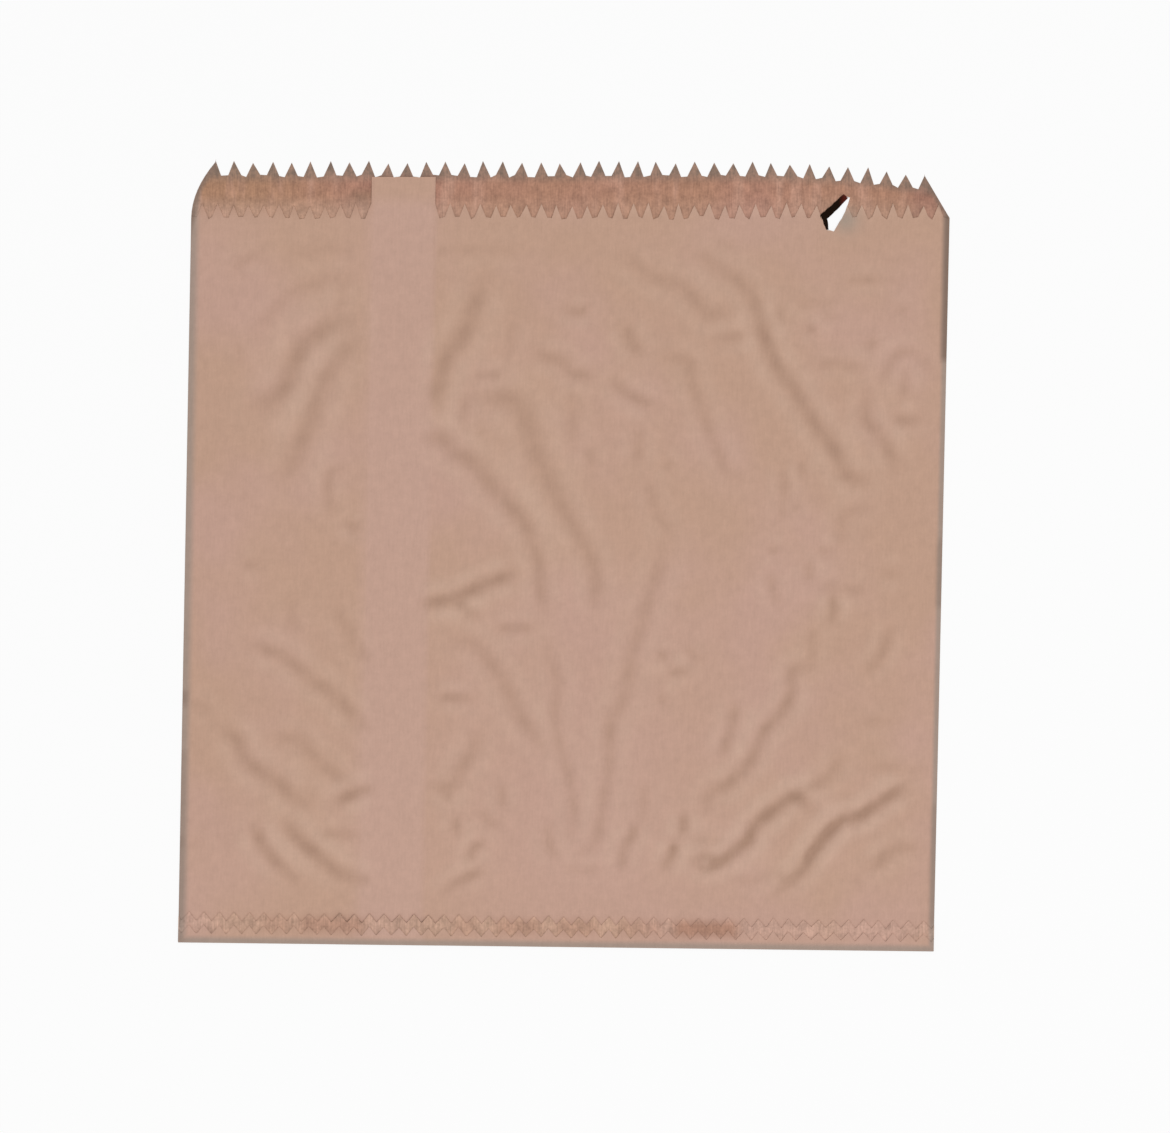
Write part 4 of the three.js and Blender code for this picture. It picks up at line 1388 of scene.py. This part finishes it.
class KraftFinish:
    """The procedural materials of the paper's outer face, inner face, cuts painted a little lighter, and
    torn lip painted as deep shadow.
    """

    roughness = 0.86
    specular = 0.28
    torn_specular = 0.05
    # Where the torn lip's painted shadow turns reddish.
    torn_shadow_red_from_right = 29.5 * MM
    torn_shadow_red_width = 2 * MM
    bump_distance = 0.045 * MM
    bump_strength = 0.55
    plain_grain = 0.3
    noise_middle = 0.5
    fold_shading = FoldShade()
    on_outer = OuterLooks()
    on_inner = InnerLooks()

    def __init__(self, tints: KraftTints, grain: PaperGrain, form: SheetForm) -> None:
        """Builds the shared node groups and the materials.

        Args:
            tints: The paper's colours.
            grain: The noises of its grain.
            form: The bag's form, for where its folds are.
        """
        self.tints = tints
        self.grain = grain
        self.form = form
        self.grain_group = self.write_grain()
        self.fold_shade_group = self.write_fold_shade()
        self.ends_group = self.write_ends()
        self.outer = self.write_outer()
        self.inner = self.write_inner()
        # The cut edges: raw paper, painted lighter to offset the shade beside them.
        self.cut = self.write_plain("kraft_cut_edge", tints.raw_with_painted_light)
        self.torn = self.write_lip_shadow()

    def group(self, name: str, inputs: dict[str, str], outputs: dict[str, str]) -> bpy.types.NodeTree:
        """Makes an empty shader node group with named inputs and outputs.

        Args:
            name: The group's name.
            inputs: Each input's name and kind.
            outputs: Each output's name and kind.

        Returns:
            The group's tree.
        """
        tree = bpy.data.node_groups.new(name, "ShaderNodeTree")
        for label, kind in inputs.items():
            tree.interface.new_socket(label, in_out="INPUT", socket_type=kind)
        for label, kind in outputs.items():
            tree.interface.new_socket(label, in_out="OUTPUT", socket_type=kind)
        return tree

    def write_grain(self) -> bpy.types.NodeTree:
        """Writes the group that gives the paper's zones, its shade and its height.

        Returns:
            The group's tree.
        """
        tree = self.group(
            "kraft_grain",
            {"Place": "NodeSocketVector", "Depth": "NodeSocketFloat"},
            {"Zones": "NodeSocketFloat", "Shade": "NodeSocketFloat", "Height": "NodeSocketFloat"},
        )
        w = TreeWriter(tree)
        given = w.add("NodeGroupInput").outputs
        summed = 0.0
        for noise in self.grain.shades:
            part = w.maths("SUBTRACT", w.noise(given["Place"], noise), self.noise_middle)
            summed = w.maths("MULTIPLY_ADD", part, noise.share, summed)
        w.add("NodeGroupOutput", {
            "Zones": w.step(w.noise(given["Place"], self.grain.zones), self.grain.zone),
            "Shade": w.maths("MULTIPLY_ADD", summed, given["Depth"], 1.0),
            "Height": w.maths("ADD", summed, self.noise_middle),
        })
        return tree

    def write_fold_shade(self) -> bpy.types.NodeTree:
        """Writes the group that tells where the side folds and the bottom fold take their painted shade.

        Returns:
            The group's tree.
        """
        form = self.form
        fold_shading = self.fold_shading
        tree = self.group(
            "fold_painted_shade",
            {"Place": "NodeSocketVector", "Width": "NodeSocketFloat"},
            {"Shaded Fold": "NodeSocketFloat", "Corner": "NodeSocketFloat"},
        )
        w = TreeWriter(tree)
        given = w.add("NodeGroupInput").outputs
        split = w.add("ShaderNodeSeparateXYZ", {0: given["Place"]}).outputs
        shares = (fold_shading.full_share, fold_shading.left_share, fold_shading.right_share)
        full, wide, narrow = (w.times(given["Width"], share) for share in shares)
        left = w.ramp(w.maths("ADD", form.half_width, split["X"]), full, wide, 1.0, 0.0)
        right = w.ramp(w.maths("SUBTRACT", form.half_width, split["X"]), full, narrow, 1.0, 0.0)
        skew = w.times(split["X"], form.fold_slope)
        above = w.maths("SUBTRACT", w.maths("SUBTRACT", split["Y"], form.bottom_y), skew)
        bottom = w.ramp(above, full, given["Width"], 1.0, 0.0)
        low, tip = form.corner_ends(-1)
        bend = low.x * (1 - fold_shading.corner_bend) + tip.x * fold_shading.corner_bend
        middle = Vector((bend, (low.y + tip.y) / 2))
        insets = [self.line_inset(w, split, *form.corner_ends(1))]
        insets += [self.line_inset(w, split, *line) for line in ((tip, middle), (middle, low))]
        nearest = w.maths("MINIMUM", w.maths("MINIMUM", insets[0], insets[1]), insets[2])
        # Painted shade along the side folds and the bottom fold.
        shaded_fold = w.maths("MAXIMUM", w.maths("MAXIMUM", left, right), bottom)
        w.add("NodeGroupOutput", {"Shaded Fold": shaded_fold, "Corner": w.step(nearest, fold_shading.corner)})
        return tree

    def line_inset(self, w: TreeWriter, split: object, start: Vector, end: Vector) -> bpy.types.NodeSocket:
        """Gives how far a place lies to the left of a line of the bag's outline.

        Args:
            w: The tree's writer.
            split: The place's parts.
            start: Where the line starts, as a place on the bag.
            end: Where it ends.

        Returns:
            The distance.
        """
        along = (end - start).normalized()
        off = along.y * start.x - along.x * (start.y + self.form.bottom_y)
        across = w.maths("MULTIPLY_ADD", split["X"], -along.y, off)
        return w.maths("MULTIPLY_ADD", split["Y"], along.x, across)

    def write_ends(self) -> bpy.types.NodeTree:
        """Writes the group that tells how far a place is from the mouth's two rows of teeth.

        Returns:
            The group's tree.
        """
        form = self.form
        sizes = form.sizes
        tree = self.group(
            "mouth_places",
            {"Place": "NodeSocketVector"},
            {"Below Tips": "NodeSocketFloat", "Above Lip": "NodeSocketFloat", "Across": "NodeSocketFloat"},
        )
        w = TreeWriter(tree)
        given = w.add("NodeGroupInput").outputs
        split = w.add("ShaderNodeSeparateXYZ", {0: given["Place"]}).outputs
        line = w.maths("MULTIPLY_ADD", split["X"], form.cut_slope, form.bottom_y)
        past = w.maths("SUBTRACT", split["X"], form.half_width - sizes.mouth_dip_width)
        share = w.maths("DIVIDE", w.maths("MAXIMUM", past, 0.0), sizes.mouth_dip_width)
        dip = w.times(w.times(share, share), sizes.mouth_dip)
        tips = w.maths("SUBTRACT", w.maths("ADD", line, sizes.length), dip)
        lip = w.maths("ADD", line, form.lip_line)
        w.add("NodeGroupOutput", {
            "Below Tips": w.maths("SUBTRACT", tips, split["Y"]),
            "Above Lip": w.maths("SUBTRACT", split["Y"], lip),
            "Across": split["X"],
        })
        return tree

    def begin(self, name: str) -> tuple[bpy.types.Material, TreeWriter, bpy.types.NodeSocket]:
        """Starts a material and gives it, its writer and the place that its nodes read.

        Args:
            name: The material's name.

        Returns:
            The material, its writer and the place.
        """
        material = bpy.data.materials.new(name)
        w = fresh_nodes(material)
        return material, w, w.add("ShaderNodeTexCoord").outputs["Object"]

    def finish(self, w: TreeWriter, colour: object, height: bpy.types.NodeSocket,
               specular: float = specular) -> None:
        """Ends a material with its bump and its paper shader.

        Args:
            w: The tree's writer.
            colour: The paper's colour.
            height: The relief for the bump.
            specular: How strongly the paper shines.
        """
        bump = w.add("ShaderNodeBump", {
            "Strength": self.bump_strength, "Distance": self.bump_distance, "Height": height,
        })
        shader = w.add("ShaderNodeBsdfPrincipled", {
            "Base Color": colour, "Roughness": self.roughness,
            "Specular IOR Level": specular, "Normal": bump.outputs[0],
        })
        w.add("ShaderNodeOutputMaterial", {"Surface": shader.outputs[0]})

    def shared(self, w: TreeWriter, group: bpy.types.NodeTree,
               inputs: dict) -> bpy.types.NodeSocketStandard:
        """Adds a shared node group to a material and gives its outputs."""
        return w.add("ShaderNodeGroup", inputs, node_tree=group).outputs

    def grained(self, w: TreeWriter, place: object, depth: float) -> bpy.types.NodeSocketStandard:
        """Adds the shared grain to a material and gives its outputs."""
        return self.shared(w, self.grain_group, {"Place": place, "Depth": depth})

    def ends(self, w: TreeWriter, place: object) -> bpy.types.NodeSocketStandard:
        """Adds the shared mouth places to a material and gives their outputs."""
        return self.shared(w, self.ends_group, {"Place": place})

    def mark(self, w: TreeWriter, name: str) -> bpy.types.NodeSocket:
        """Gives the value of one of the mesh's own marks."""
        return w.add("ShaderNodeAttribute", attribute_name=name).outputs["Fac"]

    def shaded(self, w: TreeWriter, colour: object, shade: object) -> bpy.types.NodeSocket:
        """Multiplies a colour by the grain's shade.

        Args:
            w: The tree's writer.
            colour: The colour.
            shade: The grain's shade.

        Returns:
            The shaded colour.
        """
        grey = w.add("ShaderNodeCombineXYZ", {"X": shade, "Y": shade, "Z": shade}).outputs[0]
        under = colour if isinstance(colour, bpy.types.NodeSocket) else colour[:3]
        return w.add("ShaderNodeVectorMath", {0: under, 1: grey}, operation="MULTIPLY").outputs[0]

    def paper(self, w: TreeWriter, grain: bpy.types.NodeSocketStandard) -> bpy.types.NodeSocket:
        """Gives the tan and pink zones that both faces of the paper share."""
        return w.layer(self.tints.tan, self.tints.pink, grain["Zones"])

    def with_painted_shade(self, w: TreeWriter, colour: object, place: object) -> bpy.types.NodeSocket:
        """Lays painted shade over a colour: along the folds, on the dark stretches of the side folds and
        below the hole, with the dark mouth corners.

        Args:
            w: The tree's writer.
            colour: The colour below.
            place: The place that the nodes read.

        Returns:
            The aged colour.
        """
        tints = self.tints
        # Painted shade along the folds, and the dark mouth corners.
        shaded_fold = self.shared(w, self.fold_shade_group, {"Place": place, "Width": self.fold_shading.width})
        colour = w.layer(colour, tints.shaded_fold, w.times(shaded_fold["Shaded Fold"], self.fold_shading.cover))
        corner = w.times(shaded_fold["Corner"], self.fold_shading.corner_cover)
        # Painted shade on stretches of the side folds, with the dark mouth corners.
        colour = w.layer(colour, tints.dark_edge, w.maths("MAXIMUM", self.mark(w, "dark"), corner))
        # Painted shadow below the hole.
        return w.layer(colour, tints.tear_shadow, self.mark(w, "tear_shadow"))

    def write_outer(self) -> bpy.types.Material:
        """Writes the outer face: tan and pink zones, the creases' painted shade and highlight, teeth, the
        painted shade along the folds and the painted shadow below the hole.

        Returns:
            The material.
        """
        tints = self.tints
        looks = self.on_outer
        material, w, place = self.begin("kraft_outer_face")
        grain = self.grained(w, place, looks.grain)
        ends = self.ends(w, place)
        colour = w.layer(self.paper(w, grain), tints.pink, self.mark(w, "rosy"))
        seam = w.step(ends["Above Lip"], looks.seam)
        colour = w.layer(colour, tints.seam, w.times(self.mark(w, "seam"), seam))
        colour = w.layer(colour, tints.patch, w.times(self.mark(w, "patch"), looks.patch))
        # Painted highlight on the wrinkles' shoulders and painted shade in their troughs.
        colour = w.layer(colour, tints.ridge, w.times(self.mark(w, "ridge"), looks.ridge))
        colour = w.layer(colour, tints.trough_shade, self.mark(w, "trough_shade"))
        tongue = w.step(ends["Above Lip"], looks.tongue)
        colour = w.layer(colour, tints.tan, w.times(self.mark(w, "seam"), tongue))
        tooth = w.times(w.step(ends["Above Lip"], looks.tooth), self.mark(w, "lip"))
        for tint, step in ((tints.inner_tan, looks.shaded_tooth), (tints.ridge, looks.pale_tooth)):
            colour = w.layer(colour, tint, w.times(tooth, w.step(ends["Across"], step)))
        colour = self.with_painted_shade(w, colour, place)
        self.finish(w, self.shaded(w, colour, grain["Shade"]), grain["Height"])
        return material

    def write_inner(self) -> bpy.types.Material:
        """Writes the inner face: darker and redder on the far ply, partly its own colour and partly painted
        shade, with a painted shadow beside the tongue, pale streaks and greyed teeth.

        Returns:
            The material.
        """
        tints = self.tints
        looks = self.on_inner
        material, w, place = self.begin("kraft_inner_face")
        grain = self.grained(w, place, looks.grain)
        ends = self.ends(w, place)
        across = ends["Across"]
        above = ends["Above Lip"]
        # The far ply's inner face, darker and redder: partly its own colour, partly painted shade inside
        # the mouth.
        colour = w.layer(tints.inner_tan, tints.inner_red, grain["Zones"])
        colour = w.layer(colour, tints.inner_olive, w.step(across, looks.olive))
        # Painted shadow beside the tongue, low on the band.
        beside = w.times(w.step(across, looks.dark_left), w.step(across, looks.dark_right))
        colour = w.layer(colour, tints.tongue_shadow, w.times(beside, w.step(above, looks.dark_top)))
        colour = w.layer(colour, tints.inner_purple, w.step(across, looks.purple))
        streaks = w.noise(place, looks.streaks)
        colour = w.layer(colour, tints.inner_streak, w.step(streaks, looks.streak))
        greyed = w.step(ends["Below Tips"], looks.greyed)
        uneven = w.step(grain["Height"], looks.uneven)
        colour = w.layer(colour, tints.tooth, w.times(greyed, uneven))
        paper = self.paper(w, grain)
        faded = w.times(w.step(above, looks.faded), w.step(across, looks.paler_left))
        colour = w.layer(colour, paper, faded)
        # Only the far ply's inner face takes the darker tints and their painted shade.
        colour = w.layer(paper, colour, self.mark(w, "far"))
        colour = w.layer(colour, tints.patch, self.mark(w, "patch"))
        colour = self.with_painted_shade(w, colour, place)
        self.finish(w, self.shaded(w, colour, grain["Shade"]), grain["Height"])
        return material

    def write_lip_shadow(self) -> bpy.types.Material:
        """Writes the torn lip's painted shadow: nearly black, reddish at its upper right end.

        Returns:
            The material.
        """
        material, w, place = self.begin("torn_lip_painted_shadow")
        grain = self.grained(w, place, self.plain_grain)
        start = self.form.half_width - self.torn_shadow_red_from_right
        red = w.ramp(self.ends(w, place)["Across"], start, start + self.torn_shadow_red_width)
        colour = w.layer(self.tints.torn, self.tints.torn_shadow_red, red)
        self.finish(w, self.shaded(w, colour, grain["Shade"]), grain["Height"], self.torn_specular)
        return material

    def write_plain(self, name: str, tint: Colour) -> bpy.types.Material:
        """Writes a material of one tint with the paper's grain.

        Args:
            name: The material's name.
            tint: Its tint.

        Returns:
            The material.
        """
        material, w, place = self.begin(name)
        grain = self.grained(w, place, self.plain_grain)
        self.finish(w, self.shaded(w, tint, grain["Shade"]), grain["Height"])
        return material


class PaperMarks:
    """The marks that the materials read: the creases' painted shade and highlight, the seam, the side
    folds' painted shade, the teeth and the painted shadow below the hole.
    """

    full_crease = 0.55
    fade_power = 0.5
    shade_soft = 1.2 * MM
    shade_full = 0.5 * MM
    shade_end = 2.4 * MM
    patch_soft = 2.4 * MM
    patch_start = 3.0 * MM
    patch_end = 7.4 * MM
    patch_end_soft = 1.4 * MM
    # Where the painted shadow beside the hole lies and how dark it is.
    tear_shadow_right = 2.6 * MM
    tear_shadow_below = 1.8 * MM
    tear_shadow_reach = 3.4 * MM
    tear_shadow_strength = 0.8

    def __init__(self, form: SheetForm, tear: Tear) -> None:
        """Keeps what the marks follow.

        Args:
            form: The bag's form.
            tear: The hole, for the painted shadow beside it.
        """
        self.form = form
        self.tear = tear

    def band(self, value: np.ndarray, start: float, end: float, soft: float) -> np.ndarray:
        """Gives 1 between start and end, and 0 beyond them, fading over soft on both sides of each.

        Args:
            value: Where to read the band.
            start: Where it starts.
            end: Where it ends.
            soft: Half the width of each soft end.

        Returns:
            The band at each value.
        """
        return smoothstep(value, start - soft, start + soft) * (
            1 - smoothstep(value, end - soft, end + soft)
        )

    def patches(self, x: np.ndarray, flat_y: np.ndarray) -> np.ndarray:
        """Gives how strongly the flap's end is painted darker.

        Args:
            x: Places across the bag.
            flat_y: Places along the bag, before its ends' skew.

        Returns:
            The strength at each place.
        """
        covers = [
            patch.strength * self.band(x, patch.start * MM, patch.end * MM, self.patch_soft)
            for patch in DARK_PATCHES
        ]
        return np.max(covers, axis=0) * self.band(
            flat_y, self.patch_start, self.patch_end, self.patch_end_soft
        )

    def edge_shade(self, x: np.ndarray, y: np.ndarray) -> np.ndarray:
        """Gives how dark the side folds' painted shade is.

        Args:
            x: Places across the bag.
            y: Places along the bag.

        Returns:
            The darkness at each place.
        """
        covers = []
        for shade in EDGE_SHADES:
            inset = self.form.half_width - shade.side * x
            beside = 1 - smoothstep(inset, self.shade_full, self.shade_end)
            along = self.band(y, shade.start * MM, shade.end * MM, self.shade_soft)
            covers.append(shade.strength * beside * along)
        return np.max(covers, axis=0)

    def rosy(self, x: np.ndarray, flat_y: np.ndarray) -> np.ndarray:
        """Gives how pink the near side is.

        Args:
            x: Places across the bag.
            flat_y: Places along the bag, before its ends' skew.

        Returns:
            The strength at each place.
        """
        covers = []
        for zone in ROSY_ZONES:
            across = (x / MM - zone.x) / zone.across
            along = (flat_y / MM - zone.y) / zone.along
            covers.append(zone.strength * np.exp(-(across ** 2) - along ** 2))
        return np.max(covers, axis=0)

    def tear_shadow(self, x: np.ndarray, y: np.ndarray) -> np.ndarray:
        """Gives how dark the painted shadow is on the paper below the hole, to its right.

        Args:
            x: Places across the bag.
            y: Places along the bag.

        Returns:
            The strength at each place.
        """
        tear_x, tear_y = self.tear.centre()
        away = np.hypot(x - tear_x - self.tear_shadow_right, y - tear_y + self.tear_shadow_below)
        return self.tear_shadow_strength * np.exp(-(away / self.tear_shadow_reach) ** 2)

    def write(self, mesh: bpy.types.Mesh) -> None:
        """Writes the marks on the points of the cut sheet.

        Args:
            mesh: The cut sheet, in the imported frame.
        """
        form = self.form
        points = np.zeros(len(mesh.vertices) * 3)
        mesh.vertices.foreach_get("co", points)
        x, y, z = points.reshape(-1, 3).T
        y = y - form.bottom_y
        flat_y = form.squared(x, y)
        near = z > (form.near_level + form.far_level) / 2
        # How strongly the wrinkles' painted shade and painted highlight show.
        _, trough_shade, ridge = form.wrinkle_marks(x, flat_y)
        free = near * (1 - (1 - form.seam_share) * form.seam(x))
        free = free * ((1 - form.to_mouth(flat_y)) * form.stand(x, flat_y)) ** self.fade_power
        marks = {
            "trough_shade": np.clip(trough_shade / self.full_crease, 0, 1) * free,
            "ridge": np.clip(ridge / self.full_crease, 0, 1) * free,
            "seam": form.lap(x) * near,
            "far": 1.0 - near,
            "patch": self.patches(x, flat_y) * near,
            # Painted shade on stretches of the side folds.
            "dark": self.edge_shade(x, y),
            "lip": near * (1 - form.lap(x)),
            # Painted shadow below the hole.
            "tear_shadow": self.tear_shadow(x, y),
            "rosy": self.rosy(x, flat_y) * near,
        }
        for name, values in marks.items():
            attribute = mesh.attributes.new(name, "FLOAT", "POINT")
            attribute.data.foreach_set("value", values.astype(np.float32))


@dataclass
class LunchBag:
    """The bag: its sheet, cut by the pinking blades, and the torn lip in its hole."""

    form: SheetForm
    finish: KraftFinish
    corner_steps: int = 8
    mouth_waste: float = 24 * MM
    flap_waste: float = 2.7 * MM
    flap_clearance: float = 0.01 * MM
    cut_top: float = 6 * MM
    corner_overlap: float = 0.25
    sharp_angle: float = math.radians(38)
    cutters: list[bpy.types.Object] = field(default_factory=list)

    def heights(self, ply: Ply) -> tuple[float, float]:
        """Gives the lowest and highest height of a cut through a ply.

        Args:
            ply: What the cut goes through.

        Returns:
            The two heights.
        """
        form = self.form
        between = (form.near_level + form.far_level) / 2
        bottoms = {
            Ply.BOTH: -form.sizes.paper,
            Ply.NEAR: between,
            Ply.FLAP_FAR: 2 * form.flat_radius - between,
            Ply.FLAP: form.flat_radius + self.flap_clearance,
        }
        return bottoms[ply], self.cut_top

    def past_mouth(self) -> float:
        """Gives a place along the bag that lies past all of the mouth's teeth."""
        return self.form.mouth_end + self.form.bottom_y + FAR_PINKING.pitch

    def pink(self) -> None:
        """Makes the blades of the mouth, the lip on each side of the seam, and the flap."""
        form = self.form
        sizes = form.sizes
        blade = PinkingBlade()
        side = form.half_width + FAR_PINKING.pitch
        cut = self.finish.cut
        mouth = (form.corner_ends(-1)[1].x, form.corner_ends(1)[1].x)
        dip = (sizes.mouth_dip, form.half_width - sizes.mouth_dip_width, sizes.mouth_dip_width)
        self.cutters.append(blade.make(
            "mouth_blade", FAR_PINKING, mouth, form.bottom_y + sizes.length,
            form.cut_slope, self.heights(Ply.BOTH), self.mouth_waste, cut, dip,
        ))
        for name, span in (
            ("left_lip_blade", (-side, form.hidden_lap)),
            ("right_lip_blade", (form.visible_lap, side)),
        ):
            self.cutters.append(blade.make(
                name, LIP_PINKING, span, form.bottom_y + form.lip_line,
                form.cut_slope, self.heights(Ply.NEAR), self.mouth_waste, cut,
            ))
        raised = (form.hidden_lap - sizes.lap_ramp, form.visible_lap, sizes.fold_ramp)
        for name, length, ply, lift in (
            ("flap_far_blade", sizes.flap_far_length, Ply.FLAP_FAR, 2 * form.lap_step),
            ("flap_near_blade", form.flap_length, Ply.FLAP, form.lap_step),
        ):
            self.cutters.append(blade.make(
                name, FLAP_PINKING, (-side, side), form.bottom_y + length, form.fold_slope,
                self.heights(ply), form.flap_end - length + self.flap_waste, cut, lift=(lift, *raised),
            ))

    def round_corners(self) -> None:
        """Makes the cutters of the mouth's round left corner and slanted right corner."""
        form = self.form
        half = form.half_width
        beyond = half + FAR_PINKING.pitch
        end = self.past_mouth()
        overlap = FAR_PINKING.pitch * self.corner_overlap
        base = Vector((0, form.bottom_y))
        low, tip = (place + base for place in form.corner_ends(-1))
        control = Vector((-half, (low.y + tip.y) / 2))
        left = [(-beyond, low.y)]
        for t in np.linspace(0, 1, self.corner_steps + 1):
            point = low * (1 - t) ** 2 + control * 2 * t * (1 - t) + tip * t ** 2
            left.append((point.x, point.y))
        left += [(tip.x + overlap, end), (-beyond, end)]
        low, tip = (place + base for place in form.corner_ends(1))
        right = [(beyond, low.y), (low.x, low.y), (tip.x, tip.y), (tip.x - overlap, end), (beyond, end)]
        for name, outline in (("left_corner", left), ("right_corner", right)):
            self.cutters.append(prism(name, outline, self.heights(Ply.BOTH), self.finish.cut))

    def trim_tongue(self) -> None:
        """Makes the cutter that ends the seam's tongue in a straight line below the far teeth."""
        form = self.form
        drop = form.sizes.tongue_drop - form.bottom_y
        end = self.past_mouth()
        left, right = form.hidden_lap - form.sizes.lap_ramp, form.visible_lap + form.sizes.lap_ramp
        outline = [
            (left, float(form.far_tips(left)) - drop), (right, float(form.far_tips(right)) - drop),
            (right, end), (left, end),
        ]
        self.cutters.append(prism("tongue_end", outline, self.heights(Ply.NEAR), self.finish.cut))

    def cut_sheet(self, sheet: bpy.types.Object) -> None:
        """Takes all cutters off the sheet, one after another, and leaves no loose scrap.

        Args:
            sheet: The sheet, as an object of the scene.
        """
        for cutter in self.cutters:
            modifier = sheet.modifiers.new(cutter.name, "BOOLEAN")
            modifier.operation = "DIFFERENCE"
            modifier.solver = "MANIFOLD"
            modifier.object = cutter
            settle(sheet)
        for cutter in self.cutters:
            mesh = cutter.data
            bpy.data.objects.remove(cutter)
            bpy.data.meshes.remove(mesh)
        self.cutters.clear()
        self.drop_scraps(sheet.data)

    def drop_scraps(self, mesh: bpy.types.Mesh) -> None:
        """Deletes every part of a mesh but its largest.

        Args:
            mesh: The cut sheet, which is changed.
        """
        made = bmesh.new()
        made.from_mesh(mesh)
        left = set(made.verts)
        islands = []
        while left:
            island = [left.pop()]
            for vertex in island:
                for edge in vertex.link_edges:
                    other = edge.other_vert(vertex)
                    if other in left:
                        left.remove(other)
                        island.append(other)
            islands.append(island)
        islands.sort(key=len)
        for island in islands[:-1]:
            bmesh.ops.delete(made, geom=island, context="VERTS")
        made.to_mesh(mesh)
        made.free()

    def build(self) -> list[bpy.types.Object]:
        """Builds and dresses the bag's pieces.

        Returns:
            The sheet and the torn lip.
        """
        tear = Tear(self.form)
        sheet = put("bag_sheet", RolledSheet(self.form).build())
        for material in (self.finish.outer, self.finish.inner, self.finish.cut):
            sheet.data.materials.append(material)
        self.pink()
        self.trim_tongue()
        self.round_corners()
        self.cutters.append(prism("tear", tear.outline(), self.heights(Ply.BOTH), self.finish.cut))
        self.cut_sheet(sheet)
        PaperMarks(self.form, tear).write(sheet.data)
        sheet.data.shade_smooth()
        sheet.data.set_sharp_from_angle(angle=self.sharp_angle)
        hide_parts(SOLID)
        lip = put("torn_lip", tear.torn_lip())
        # The lip is painted nearly black as deep shadow.
        lip.data.materials.append(self.finish.torn)
        pieces = [sheet, lip]
        for piece in pieces:
            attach(piece, BODY)
            piece.data.calc_loop_triangles()
            log.info("%s: %d triangles", piece.name, len(piece.data.loop_triangles))
        return pieces


@dataclass
class Studio:
    """The white table, the soft lamp and the plain light all round."""

    table_size: float = 8.0
    table_drop: float = 0.05 * MM
    table_white: float = 0.9
    glow_share: float = 0.8
    world_strength: float = 0.6
    key_power: float = 38.0
    key_size: float = 1.8
    key_distance: float = 3.0
    key_azimuth: float = math.radians(-62)
    key_elevation: float = math.radians(70)

    def background_rays(self, w: TreeWriter) -> bpy.types.NodeSocket:
        """Gives 1 for rays that show the background itself: camera, glossy and clear.

        Args:
            w: The tree's writer.

        Returns:
            The value.
        """
        path = w.add("ShaderNodeLightPath").outputs
        rays = w.maths("ADD", path["Is Camera Ray"], path["Is Glossy Ray"])
        return w.maths("MINIMUM", w.maths("ADD", rays, path["Is Transmission Ray"]), 1.0)

    def table(self) -> bpy.types.Object:
        """Builds the table under the bag, white to the camera but for the bag's shadow.

        Returns:
            The table.
        """
        half = self.table_size / 2
        corners = [(-half, -half), (half, -half), (half, half), (-half, half)]
        mesh = bpy.data.meshes.new("table")
        mesh.from_pydata([(x, y, -self.table_drop) for x, y in corners], [], [(0, 1, 2, 3)])
        material = bpy.data.materials.new("table_white")
        w = fresh_nodes(material)
        white = (self.table_white, self.table_white, self.table_white, 1.0)
        matt = w.add("ShaderNodeBsdfDiffuse", {"Color": white}).outputs[0]
        glow = w.add("ShaderNodeEmission", {"Color": WHITE, "Strength": 1.0}).outputs[0]
        share = w.times(self.background_rays(w), self.glow_share)
        mixed = w.add("ShaderNodeMixShader", {0: share, 1: matt, 2: glow}).outputs[0]
        w.add("ShaderNodeOutputMaterial", {"Surface": mixed})
        mesh.materials.append(material)
        made = put("table", mesh)
        return made

    def lamp(self) -> bpy.types.Object:
        """Hangs the soft lamp high off the bottom's right end, turned to the bag.

        Returns:
            The lamp.
        """
        light = bpy.data.lights.new("key", "AREA")
        light.shape = "SQUARE"
        light.size = self.key_size
        light.energy = self.key_power
        lamp = put("key", light)
        flat = math.cos(self.key_elevation)
        toward = Vector((
            math.cos(self.key_azimuth) * flat,
            math.sin(self.key_azimuth) * flat,
            math.sin(self.key_elevation),
        ))
        lamp.location = toward * self.key_distance
        lamp.rotation_euler = toward.to_track_quat("Z", "Y").to_euler()
        return lamp

    def world(self) -> None:
        """Lights the bag evenly from all round, and shows white behind it."""
        world = bpy.data.worlds.new("studio")
        bpy.context.scene.world = world
        w = fresh_nodes(world)
        behind = self.background_rays(w)
        strength = w.maths("MULTIPLY_ADD", behind, 1.0 - self.world_strength, self.world_strength)
        sky = w.add("ShaderNodeBackground", {"Color": WHITE, "Strength": strength})
        w.add("ShaderNodeOutputWorld", {"Surface": sky.outputs[0]})

    def build(self) -> None:
        """Builds the table, the lamp and the world."""
        self.table()
        self.lamp()
        self.world()
        bpy.context.scene.view_settings.view_transform = "Standard"


@dataclass
class PhotoCamera:
    """The camera above the bag, framed, turned and tilted as the photograph is."""

    form: SheetForm
    distance: float = 0.9
    frame_width: float = 309.2 * MM
    sensor: float = 36.0
    across: float = 5.7 * MM
    along: float = 100.85 * MM
    tilt: float = math.radians(1.0)

    def build(self) -> bpy.types.Object:
        """Makes the camera and looks through it.

        Returns:
            The camera.
        """
        data = bpy.data.cameras.new("camera")
        data.sensor_width = self.sensor
        data.lens = self.sensor * self.distance / self.frame_width
        camera = put("camera", data)
        turn = Euler((-self.tilt, 0.0, self.form.sizes.cut_skew))
        aim = Vector((self.across, self.along + self.form.bottom_y, 0.0))
        camera.rotation_euler = turn
        camera.location = aim + turn.to_matrix() @ Vector((0.0, 0.0, self.distance))
        bpy.context.scene.camera = camera
        return camera


def main() -> None:
    """Builds the bag, the studio and the camera, in that order."""
    logging.basicConfig(level=logging.INFO, format="%(name)s: %(message)s")
    form = SheetForm(SheetSizes(), BulgeSizes())
    finish = KraftFinish(KraftTints(), PaperGrain(), form)
    LunchBag(form, finish).build()
    Studio().build()
    PhotoCamera(form).build()


if __name__ == "__main__":
    main()
